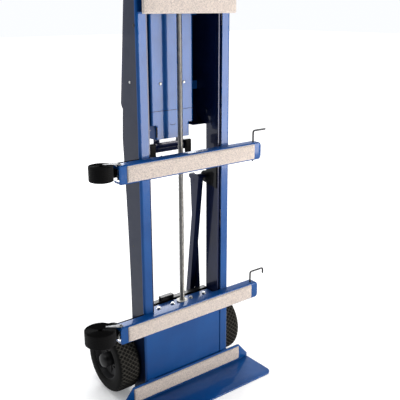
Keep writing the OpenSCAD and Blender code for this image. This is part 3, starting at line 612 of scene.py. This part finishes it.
# %% Rims
def around(part, count, centre, start=0.0):
    """Copies of a part turned about an X axis through the centre."""
    copies = []
    for k in range(count):
        a = start + TURN * k / count
        turn = np.array([[1, 0, 0], [0, math.cos(a), -math.sin(a)], [0, math.sin(a), math.cos(a)]])
        copies.append(((part[0] - centre) @ turn.T + centre, part[1]))
    return copies

RIM = np.array([(76, -38), (76, 38), (73, 39), (71, 34), (66, 18), (44, 11), (27, 14), (27, 34), (23, 40),
                (12, 41), (12, -41), (24, -41), (24, -2), (42, 3), (62, 8), (70, -2), (73, -38)]) * MM
CAP = np.array([(27, 39), (26.5, 47), (22, 53), (12, 57), (0.1, 58), (0.1, 56), (11, 55.2), (20, 51.5),
                (24.5, 46), (25, 39)]) * MM
for side, outward in (("left", -1), ("right", 1)):
    low, high = (np.array(c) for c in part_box(side + "_tyre"))
    centre = (low + high) / 2
    disc = turned(RIM * [1, outward], "X", centre, 72, closed=True)
    rib = rounded_box(centre + np.array([min(outward * 10, outward * 17), -3, 26]) * MM,
                      centre + np.array([max(outward * 10, outward * 17), 3, 69]) * MM, 2 * MM)
    bolt = turned(np.array([(0.1, 0), (5.5, 0), (5.5, 4), (4.6, 5), (0.1, 5)]) * MM * [1, outward], "X",
                  centre + np.array([outward * 12, 0, 36]) * MM, 6)
    piece(side + "_dished_rim", [disc] + around(rib, 6, centre) + around(bolt, 6, centre, TURN / 12),
          side + "_wheel", "black_plastic", [side + "_rim"], sharp_deg=40)
    piece(side + "_hub_cap", [turned(CAP * [1, outward], "X", centre, 40, closed=True)], side + "_wheel",
          "black_plastic", sharp_deg=40)

# %% [markdown]
# ## Webbing straps
# Each strap is stored rolled up beside the bar's left end. Its centre line is a spiral whose radius
# grows by one webbing thickness and a little air each turn; then it peels off the roll and runs
# behind the bar. The webbing's flat section is carried along that line, on edge.

# %% Straps
def strap_line(centre, core_r, roll_r, pitch, leave_deg, to, reach, per_turn=44):
    """Clockwise spiral r = core + pitch * turns, then a Bezier curve onto the straight run to reach."""
    turns = (roll_r - core_r) / pitch
    t = np.linspace(0, 1, int(turns * per_turn))
    angle = math.radians(leave_deg) + TURN * turns * (1 - t)
    r = core_r + (roll_r - core_r) * t
    wobble = 1 + 0.012 * np.sin(3 * angle + 0.7) * t
    spiral = np.stack([centre[0] + r * wobble * np.cos(angle), centre[1] + r * wobble * np.sin(angle)], -1)
    start, aim = spiral[-1], spiral[-1] - spiral[-2]
    aim = aim / np.linalg.norm(aim)
    to = np.array(to)
    s = np.linspace(0, 1, 26)[1:, None]
    pull = 20 * MM
    curve = ((1 - s) ** 3 * start + 3 * (1 - s) ** 2 * s * (start + aim * pull)
             + 3 * (1 - s) * s ** 2 * (to - [pull, 0]) + s ** 3 * to)
    run = np.linspace(to, (reach, to[1]), 20)[1:]
    return np.vstack([spiral, curve, run])

def webbing_strap(line, z0, z1, thick):
    """A flat section with softened edges, on edge along the line; UV = (length, height) in metres."""
    path = np.column_stack([line, np.full(len(line), (z0 + z1) / 2)])
    h, e = (z1 - z0) / 2, thick / 2
    section = np.array([(-e, -h + e), (-e, -h / 2), (-e, 0), (-e, h / 2), (-e, h - e), (0, h),
                        (e, h - e), (e, h / 2), (e, 0), (e, -h / 2), (e, -h + e), (0, -h)])
    vertices, faces = carried(path, section, (0, 0, 1))
    step = distance_along(line)
    uv = np.stack(np.broadcast_arrays(step[:, None], section[None, :, 1]), -1).reshape(-1, 2)
    uv = np.vstack([uv, [[0, 0], [step[-1], 0]]])
    return (vertices, faces), uv, step[-1]

WEB = 2.2 * MM
for level in ("mid", "low"):
    low, high = (np.array(c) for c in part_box(level + "_strap"))
    roll_r = (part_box(level + "_bar")[0][0] - 4 * MM - low[0]) / 2
    centre = (low[0] + roll_r, -2 * MM)
    line = strap_line(centre, 8 * MM, roll_r - WEB, WEB + 0.7 * MM, 62,
                      (centre[0] + roll_r + 12 * MM, 4.4 * MM), high[0])
    part, uv, length = webbing_strap(line, low[2], high[2], WEB)
    strap = piece(level + "_webbing", [part], "lift_frame", "webbing", [level + "_strap"], uv=uv)
    print(f"{level} strap: {length:.2f} m of webbing")

# %% [markdown]
# ## J-hooks
# The hooks are bent from 7 mm wire. A hook is a round section carried along straight runs and arcs;
# its ends are rounded by shrinking the section along a quarter circle.

# %% Hooks
def wire(path, radius, up, steps=14):
    """A round section along the path. Past each end, its size falls as a quarter circle does."""
    path = np.asarray(path, float)
    first, last = path[0] - path[1], path[-1] - path[-2]
    first, last = first / np.linalg.norm(first), last / np.linalg.norm(last)
    tip = np.array([0.35, 0.7, 0.92])
    past = radius * np.array([0.94, 0.71, 0.39])[:, None]
    size = np.concatenate([tip, np.ones(len(path)), tip[::-1]])
    path = np.vstack([path[0] + first * past, path, path[-1] + last * past[::-1]])
    return carried(path, circle(radius, steps), up, size)

def bent(corners, radius, steps=8):
    """Straight runs between corners, with each inner corner replaced by an arc-like blend."""
    corners = np.asarray(corners, float)
    points = [corners[:1]]
    s = np.linspace(0, 1, steps)[:, None]
    for before, corner, after in zip(corners[:-2], corners[1:-1], corners[2:]):
        a = corner + (before - corner) / np.linalg.norm(before - corner) * radius
        b = corner + (after - corner) / np.linalg.norm(after - corner) * radius
        points.append((1 - s) ** 2 * a + 2 * (1 - s) * s * corner + s ** 2 * b)
    points.append(corners[-1:])
    joined = np.vstack(points)
    at = distance_along(joined)
    even = np.union1d(at, np.arange(0, at[-1], 6 * MM))
    return np.stack([np.interp(even, at, joined[:, k]) for k in range(3)], -1)

for level, drop in (("mid", 0), ("low", 21 * MM)):
    low, high = (np.array(c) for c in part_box(level + "_hook"))
    r = 3.5 * MM
    x, y = low[0] + r, (low[1] + high[1]) / 2
    corners = [(x, y, low[2] + r), (x, y, high[2] - r), (high[0] - (r if drop else 0), y, high[2] - r)]
    if drop:
        corners.append((high[0] - r, y, high[2] - r - drop))
    piece(level + "_wire_hook", [wire(bent(corners, 9 * MM), r, (0, 1, 0))], level + "_j_hook",
          "hook_wire", [level + "_hook"])

# %% [markdown]
# ## Toe plate
# The toe plate is 6 mm plate with rounded corners and a welded back flange. Its edges are ground to a
# small radius, which draws a bright line along them. A plate is a stack of its outline: the outline
# is moved inwards along its normals near both faces.

# %% Toe plate and weld beads
def rounded_plate(outline, thick, edge, place, steps=4):
    """Outline inset by edge * (1 - cos a) at height edge * (1 - sin a) near each face."""
    outline = np.asarray(outline, float)
    ahead, behind = np.roll(outline, -1, 0) - outline, outline - np.roll(outline, 1, 0)
    unit = [v / np.maximum(np.linalg.norm(v, axis=1, keepdims=True), 1e-9) for v in (ahead, behind)]
    along = unit[0] + unit[1]
    along /= np.maximum(np.linalg.norm(along, axis=1, keepdims=True), 1e-9)
    inward = np.stack([-along[:, 1], along[:, 0]], -1)
    a = np.linspace(0, math.pi / 2, steps)
    inset = np.concatenate([edge * (1 - np.sin(a)), edge * (1 - np.cos(a))])
    height = np.concatenate([edge * (1 - np.cos(a)), thick - edge * (1 - np.sin(a))])
    flat = outline[None] + inset[:, None, None] * inward[None]
    return skin(place(flat[..., 0], flat[..., 1], height[:, None] + 0 * flat[..., 0]))

toe_low, toe_high = (np.array(c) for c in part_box("toe_plate"))
corner = 30 * MM
side_y = -30 * MM    # one more point on each side splits its long facet
outline = np.vstack([arc((toe_low[0] + corner, toe_low[1] + corner), corner, 180, 270, 10),
                     arc((toe_high[0] - corner, toe_low[1] + corner), corner, 270, 360, 10),
                     [(toe_high[0], side_y), (toe_high[0], 0), (half_frame, 0),
                      (half_frame, toe_high[1]), (-half_frame, toe_high[1]), (-half_frame, 0),
                      (toe_low[0], 0), (toe_low[0], side_y)]])
PLATE = 6 * MM
base = rounded_plate(outline, PLATE, 1.5 * MM, lambda a, b, h: np.stack([a, b, h], -1))
chamfer, low_edge, sunk = 46 * MM, 20 * MM, 5 * MM
flange = np.array([(toe_low[0], sunk), (toe_high[0], sunk), (toe_high[0], low_edge),
                   (toe_high[0] - chamfer, toe_high[2]), (toe_low[0] + chamfer, toe_high[2]),
                   (toe_low[0], low_edge)])
back = rounded_plate(flange, PLATE, 1.8 * MM, lambda a, b, h: np.stack([a, -h, b], -1))

def weld_bead(start, end, radius, ripple_mm=3.0):
    """A round bead, half sunk in the corner, whose radius ripples by a tenth for each drop of metal."""
    n = max(int(np.linalg.norm(np.subtract(end, start)) / (ripple_mm * MM / 6)), 8)
    t = np.linspace(0, 1, n)
    path = np.outer(1 - t, start) + np.outer(t, end)
    swell = radius * (1 + 0.1 * np.sin(TURN * t * n / 6)) * np.minimum(1, 6 * np.minimum(t, 1 - t) + 0.3)
    return carried(path, circle(1.0, 10), (0, 0, 1), swell)

beads = [weld_bead((s * 163 * MM, -1 * MM, 75 * MM), (s * 192 * MM, -1 * MM, 75 * MM), 3 * MM)
         for s in (-1, 1)]
beads.append(weld_bead((-290 * MM, -6.5 * MM, 6.5 * MM), (290 * MM, -6.5 * MM, 6.5 * MM), 2.5 * MM, 5))
piece("toe_plate_formed", [base, back] + beads, "lift_frame", "blue_paint", ["toe_plate"], sharp_deg=30)

# %% [markdown]
# ## Bolts, rivets and painted shade in the side holes
# Hexagon bolts with washers hold the nut bracket under the shelf. Carriage bolts with nuts hold the
# bars. A hexagon is a turned profile with six steps; the chamfer on its top is in the profile.

# %% Fasteners
def hex_bolt(place, axis, across, height, outward=1):
    """Washer, then a six-sided head with a chamfered top."""
    core, thin = 0.1 * MM, 1.2 * MM
    washer = np.array([(core, 0), (across * 1.15, 0), (across * 1.15, thin), (core, thin)])
    head = np.array([(core, thin), (across, thin), (across, height - 1 * MM),
                     (across * 0.86, height), (core, height)])
    return [turned(washer * [1, outward], axis, place, 24), turned(head * [1, outward], axis, place, 6)]

def dome(place, axis, radius, height, outward=1, steps=24):
    """A low round head: (radius * cos a, height * sin a) over a quarter circle."""
    a = np.linspace(0, math.pi / 2, 7)
    profile = np.stack([radius * np.cos(a) + 1e-5, height * np.sin(a)], -1)
    return turned(np.vstack([[(radius, 0)], profile]) * [1, outward], axis, place, steps)

# %% Bolts on the shelf and the bars
shelf_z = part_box("lower_panel")[1][2]
BAR_BOLT_X, BAR_BOLT_DZ, BAR_FACE_Y = 178 * MM, 16.5 * MM, -33 * MM
fixings = []
for x in (-107, -43, 43, 107):
    fixings += hex_bolt((x * MM, 40 * MM, shelf_z), "Z", 7 * MM, 6 * MM)
for level in ("mid", "low"):
    low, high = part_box(level + "_bar")
    middle = (low[2] + high[2]) / 2
    for x in (-BAR_BOLT_X, BAR_BOLT_X):
        for z in (middle - BAR_BOLT_DZ, middle + BAR_BOLT_DZ):
            fixings.append(turned([(4 * MM, BAR_FACE_Y), (4 * MM, 7.5 * MM)], "Y", (x, 0, z), 20))
            fixings += hex_bolt((x, 3 * MM, z), "Y", 7 * MM, 5 * MM)
            fixings.append(dome((x, BAR_FACE_Y, z), "Y", 9 * MM, 4 * MM))
piece("bolts_and_washers", fixings, "lift_frame", "zinc_steel", ["frame_bolts"], sharp_deg=30)

# %% Rivets, painted shade in the side holes, and cover screws
rivets, hole_shades = [], []
for s in (-1, 1):
    rivets.append(dome((s * half_frame, 50 * MM, 1174 * MM), "X", 4.5 * MM, 2 * MM, s))
    # Black domes in the side holes, slightly proud of the sheet, are painted shade of the holes.
    hole_shades.append(dome((s * half_frame, 60 * MM, 595 * MM), "X", 3.5 * MM, 0.8 * MM, s))
    hole_shades.append(dome((s * half_frame, 14 * MM, 1356 * MM), "X", 6.5 * MM, 1.5 * MM, s))
piece("side_rivets", rivets, "lift_frame", "zinc_steel")
piece("side_hole_shades", hole_shades, "lift_frame", "black_plastic")

low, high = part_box("cover_screws")
cover_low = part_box("motor_cover")[0]
heads = []
for s in (-1, 1):
    place = (s * 51 * MM, cover_low[1], (low[2] + high[2]) / 2)
    heads.append(dome(place, "Y", 6 * MM, 3 * MM, -1))
    heads.append(turned([(2 * MM, 0), (2 * MM, 10 * MM)], "Y", place, 16))
piece("cover_screw_heads", heads, "chassis", "zinc_steel", ["cover_screws"])

# %% [markdown]
# ## Small parts on the chassis
# Under the motor cover sits the mount bar, a pressed bar with a swage line along its middle and a
# rubber bumper at each end. A bent wire below it holds the cable. A wire bail springs across between
# the two leg brackets.

# %% Mount bar, bumpers, cable hook and leg bail
low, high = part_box("motor_mount")
mount_z, bar_top = low[2], low[2] + 35 * MM
y_mid, z_mid = (low[1] + high[1]) / 2, (low[2] + bar_top) / 2
half_y, half_z, edge = (high[1] - low[1]) / 2, (bar_top - low[2]) / 2, 3 * MM
bend_y, bend_z = half_y - edge, half_z - edge
swage = np.vstack([arc((-bend_y, -bend_z), edge, 180, 270, 5), arc((bend_y, -bend_z), edge, 270, 360, 5),
                   arc((bend_y, bend_z), edge, 0, 90, 5), arc((-bend_y, bend_z), edge, 90, 180, 5),
                   [(-half_y, 5 * MM), (-half_y - 2.5 * MM, 2 * MM),
                    (-half_y - 2.5 * MM, -2 * MM), (-half_y, -5 * MM)]])
bar = along_x(low[0] + 2 * MM, high[0] - 2 * MM, swage + [y_mid, z_mid])
stems = [rounded_box((s * 50 * MM - 12 * MM, y_mid - 3 * MM, bar_top - 2 * MM),
                     (s * 50 * MM + 12 * MM, y_mid + 3 * MM, high[2]), 1 * MM) for s in (-1, 1)]
piece("swaged_mount_bar", [bar] + stems, "chassis", "dark_paint", ["motor_mount"])

low, high = (np.array(c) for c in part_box("bumpers"))
block = rounded_box((high[0] - 27 * MM, low[1], low[2]), high, 5 * MM)
piece("rubber_bumpers", [block, mirrored(block)], "chassis", "belt_rubber", ["bumpers"])

HOOK = np.array([(-60, 112, 4), (-60, 106, -22), (-40, 106, -30), (-36, 106, -14)]) * MM
BAIL = np.array([(-148, 100, -8), (-110, 100, -5), (-50, 100, 23), (50, 100, 23), (110, 100, -5),
                 (148, 100, -8)]) * MM
bracket_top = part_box("leg_brackets")[1][2]
nearly_y = (0, 1, 0.1)
piece("cable_hook_and_leg_bail", [wire(bent(HOOK + [0, 0, mount_z], 8 * MM), 2.5 * MM, nearly_y),
                                  wire(bent(BAIL + [0, 0, bracket_top], 12 * MM), 3 * MM, nearly_y)],
      "chassis", "black_steel")

# %% [markdown]
# ## Motor cover details
# The cover is pressed sheet over the gear motor. A dark joint runs across where it meets the gearbox
# cover, and that one has a small pressed finger lip in its middle and a cable slot at its left. The lip
# and the slot are drawn as dark rubber marks only: painted shade under the lip and inside the slot.

# %% Cover joint, and painted shade of the finger lip and the slot
front, joint_z = cover_low[1], cover_low[2]
step_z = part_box("gearbox_cover")[1][2] - 49 * MM
joint = rounded_box((-92 * MM, front - 0.5 * MM, joint_z - 1 * MM),
                    (92 * MM, front + 1 * MM, joint_z + 0.6 * MM), 0.3 * MM)
# The slot is a dark rubber patch: painted shade inside the cable slot.
slot = rounded_box((-73 * MM, front - 0.4 * MM, step_z - 44 * MM),
                   (-67 * MM, front + 1 * MM, step_z - 6 * MM), 0.6 * MM)
# The lip is a thin dark rubber curve: painted shade under the pressed lip.
bow = arc((0, 0), 1.0, 180, 360, 14) * [11 * MM, 5 * MM]
lip = np.stack([bow[:, 0], np.full(len(bow), front), step_z + bow[:, 1]], -1)
piece("cover_joint_and_painted_shade", [joint, slot, wire(lip, 0.9 * MM, (0, 1, 0))], "chassis", "belt_rubber")

# %% [markdown]
# ## Grips
# Each grip is a rubber sleeve pushed over the tube, with rings for the fingers and a domed end. The
# profile is a row of low waves turned about the tube.

# %% Grips
def ribbed_grip(x, y0, z, inner_r, outer_r, length, ribs=13):
    """r = outer - 1.3 mm * |sin(ribs * pi * t)|, closed by a quarter circle at the end."""
    t = np.linspace(0, 1, ribs * 8 + 1)
    ring = outer_r - 1.3 * MM * np.abs(np.sin(ribs * math.pi * t)) ** 0.6
    run = np.stack([ring, 6 * MM + t * (length - 16 * MM)], -1)
    a = np.linspace(0, math.pi / 2, 7)
    end = np.stack([outer_r * np.cos(a) + 1e-5, length - 10 * MM + 10 * MM * np.sin(a)], -1)
    flange = [(inner_r, 0), (outer_r - 0.6 * MM, 0), (outer_r, 1 * MM), (outer_r, 5 * MM)]
    return turned(np.vstack([flange, run, end]), "Y", (x, y0, z), 40)

for side in ("left", "right"):
    low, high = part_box(side + "_grip")
    piece(side + "_ribbed_grip", [ribbed_grip((low[0] + high[0]) / 2, low[1], (low[2] + high[2]) / 2,
                                              14.05 * MM, (high[0] - low[0]) / 2, high[1] - low[1])],
          "chassis", "belt_rubber", [side + "_grip"], sharp_deg=40)

# %% [markdown]
# ## Battery, switch box and drive case
# The battery is a moulded pack with ribs and a carrying bar, and slides up out of its cradle. The
# switch box has rounded moulded edges and a framed rocker. The drive case has a screwed lid.

# %% Battery
low, high = (np.array(c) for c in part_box("battery"))
pack = [rounded_box(low, (high[0], high[1] - 4 * MM, high[2] - 14 * MM), 6 * MM)]
for x in np.linspace(-48, 48, 7) * MM:
    pack.append(rounded_box((x - 3 * MM, high[1] - 7 * MM, low[2] + 26 * MM),
                            (x + 3 * MM, high[1] - 1 * MM, high[2] - 70 * MM), 2.4 * MM))
pack.append(rounded_box((-26 * MM, high[1] - 6 * MM, high[2] - 56 * MM),
                        (26 * MM, high[1], high[2] - 34 * MM), 2.5 * MM))
y_bar = (low[1] + high[1]) / 2 - 2 * MM
bar_line = bent([(-44 * MM, y_bar, high[2] - 18 * MM), (-44 * MM, y_bar, high[2] - 4.5 * MM),
                 (44 * MM, y_bar, high[2] - 4.5 * MM), (44 * MM, y_bar, high[2] - 18 * MM)], 7 * MM)
pack.append(wire(bar_line, 4.3 * MM, (0, 1, 0)))
piece("battery_case", pack, "battery_pack", "black_plastic", ["battery"], sharp_deg=40)

# %% Switch box and rocker
low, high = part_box("control_box")
key_low, key_high = (np.array(c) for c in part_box("rocker_switch"))
GAP, RIM_W, RIM_R = 1 * MM, 5 * MM, 1.2 * MM
reach = GAP + RIM_W
y0, y1 = high[1] - 2 * MM, high[1] + 1.5 * MM
switch_frame = []
for x in (key_low[0] - reach, key_high[0] + GAP):
    switch_frame.append(rounded_box((x, y0, key_low[2] - reach), (x + RIM_W, y1, key_high[2] + reach), RIM_R))
for z in (key_low[2] - reach, key_high[2] + GAP):
    switch_frame.append(rounded_box((key_low[0] - reach, y0, z), (key_high[0] + reach, y1, z + RIM_W), RIM_R))
for x in (low[0] + 7 * MM, high[0] - 7 * MM):
    for z in (low[2] + 7 * MM, high[2] - 7 * MM):
        switch_frame.append(dome((x, high[1] - 0.5 * MM, z), "Y", 3.2 * MM, 1.8 * MM))
piece("switch_box_frame", switch_frame, "chassis", "black_plastic", sharp_deg=40)

half_key, key_z = (key_high[2] - key_low[2]) / 2, (key_low[2] + key_high[2]) / 2
hidden_y, corner_z = key_low[1] + 1 * MM, half_key - 4.5 * MM
t = np.linspace(-1, 1, 15)
hollow = np.stack([key_high[1] - 0.4 * MM - 3.2 * MM * (1 - t ** 2), t * (half_key - 2.2 * MM)], -1)
side_view = np.vstack([[(hidden_y, -corner_z)], hollow, [(hidden_y, corner_z)]])[::-1] + [0, key_z]
key = along_x(key_low[0] + 0.3 * MM, key_high[0] - 0.3 * MM, side_view, 5)
piece("rocker_key", [key], "switch", "switch_red", ["rocker_switch"], sharp_deg=40)

# %% Drive case lid, tube collars and housing louvres
low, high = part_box("drive_case")
lid = rounded_box((low[0] + 4 * MM, low[1] + 4 * MM, high[2] - 1 * MM),
                  (high[0] - 4 * MM, high[1] - 4 * MM, high[2] + 2 * MM), 1.2 * MM)
piece("drive_case_lid", [lid], "chassis", "dark_paint", sharp_deg=40)
lid_z = high[2] + 1.8 * MM
fixings = [dome((x, y, lid_z), "Z", 4.5 * MM, 2.4 * MM)
           for x in np.linspace(low[0] + 16 * MM, high[0] - 16 * MM, 4)
           for y in (low[1] + 14 * MM, high[1] - 10 * MM)]
tube_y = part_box("handle")[0][1] + 14 * MM
COLLAR = np.array([(14.2, 0), (24, 0), (24, 3), (18, 5), (16, 14), (14.2, 15)]) * MM
for x in (-118 * MM, 118 * MM):
    fixings.append(turned(COLLAR, "Z", (x, tube_y, lid_z), 40, closed=True))
piece("lid_screws_and_collars", fixings, "chassis", "zinc_steel", sharp_deg=40)

house_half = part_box("rear_housing")[1][0]
louvres = []
for k in range(7):
    z = 1352 * MM + 14 * MM * k
    blade = rounded_box((house_half - 2 * MM, 90 * MM, z),
                        (house_half + 3 * MM, 132 * MM, z + 6 * MM), 2 * MM)
    louvres += [blade, mirrored(blade)]
piece("housing_louvres", louvres, "chassis", "dark_paint", sharp_deg=50)

# %% [markdown]
# ## Strap clips
# A bent steel clip on top of each bar's left end guides the webbing onto its roll. It is a small
# triangle of sheet held by one rivet.

# %% Strap clips
LEAF = np.array([(-40, 0), (-6, -26), (16, -28), (16, -12), (-4, -6), (-34, 6)]) * MM
clips, clip_rivets = [], []
for level in ("mid", "low"):
    low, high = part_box(level + "_bar")
    top = max(high[2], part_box(level + "_strap")[1][2]) + 0.6 * MM
    clips.append(rounded_plate(LEAF + [low[0], 0], 1.6 * MM, 0.4 * MM,
                               lambda a, b, h, z=top: np.stack([a, b, z + h], -1)))
    clips.append(rounded_box((low[0] + 3 * MM, -27 * MM, high[2] - 1 * MM),
                             (low[0] + 15 * MM, -15 * MM, top + 0.5 * MM), 0.8 * MM))
    clip_rivets.append(dome((low[0] + 9 * MM, -21 * MM, top + 1.5 * MM), "Z", 3.5 * MM, 1.8 * MM))
piece("strap_clips", clips, "lift_frame", "zinc_steel", sharp_deg=40, finish=dulled_zinc)
piece("strap_clip_rivets", clip_rivets, "lift_frame", "black_steel")

# %% [markdown]
# ## Floor, light and the closing lines
# A pale floor and a pale surround light the truck softly from everywhere; the floor also glows, a painted
# light that is weakest near the truck and grows outwards. One large soft light hangs overhead, a tall
# warm one at the right is mirrored by the upper front faces, and one behind draws pale lines along the
# top edges. The surround is brighter behind the truck than in front.

# %% Floor
floor_finish, floor_tree, floor_shader = new_material("studio_floor_with_painted_glow", {
    "Roughness": 0.9, "Base Color": linear("#f0f0f0"), "Emission Color": linear("#ffffff")})
# The floor's emission is painted light: it glows at 0.22 near the truck and up to 0.75 six metres out.
out_from_middle = add(floor_tree, "ShaderNodeVectorMath", {"operation": "LENGTH"},
                      Vector=add(floor_tree, "ShaderNodeTexCoord").outputs["Object"])
link(floor_shader, Emission_Strength=add(
    floor_tree, "ShaderNodeMapRange", {"interpolation_type": "SMOOTHSTEP", "From Min": 1.0,
    "From Max": 6.0, "To Min": 0.22, "To Max": 0.75}, Value=out_from_middle.outputs["Value"]))
floor_mesh = bpy.data.meshes.new("floor")
floor_mesh.from_pydata([(-30, -30, 0), (30, -30, 0), (30, 30, 0), (-30, 30, 0)], [], [(0, 1, 2, 3)])
floor_mesh.materials.append(floor_finish)
floor = bpy.data.objects.new("floor", floor_mesh)
bpy.context.scene.collection.objects.link(floor)

# %% Surround and lights
world = bpy.data.worlds.new("studio")
world.use_nodes = True
sky = world.node_tree
surround = sky.nodes["Background"]
surround.inputs["Color"].default_value = linear("#f6f8fb")
direction = add(sky, "ShaderNodeSeparateXYZ", Vector=add(sky, "ShaderNodeTexCoord").outputs["Generated"])
glow = add(sky, "ShaderNodeMapRange", {"From Min": -0.35, "From Max": 0.35, "To Min": 0.14,
           "To Max": 1.05}, Value=direction.outputs["Y"])
seen = add(sky, "ShaderNodeLightPath").outputs["Is Camera Ray"]
link(surround, Strength=add(sky, "ShaderNodeMath", {"operation": "MAXIMUM"}, i0=glow, i1=seen))
bpy.context.scene.world = world
def soft_light(name, place, target, width, height, power, tint="#ffffff"):
    """A rectangular area light that faces its target."""
    data = bpy.data.lights.new(name, "AREA")
    data.shape, data.size, data.size_y, data.energy = "RECTANGLE", width, height, power
    made = bpy.data.objects.new(name, data)
    data.color = linear(tint)[:3]
    made.location = place
    made.rotation_euler = (Vector(target) - Vector(place)).to_track_quat("-Z", "Y").to_euler()
    bpy.context.scene.collection.objects.link(made)

soft_light("overhead", (-0.2, 0.1, 4.0), (0, 0, 0), 1.6, 1.6, 62)
soft_light("tall_panel", (2.1, -2.75, 1.0), (0, 0, 0.95), 1.25, 2.1, 122, "#fff8ef")
soft_light("back_fill", (1.6, 3.4, 2.6), (0, 0, 0.9), 2.0, 1.5, 70)
bpy.context.scene.view_settings.view_transform = "Standard"
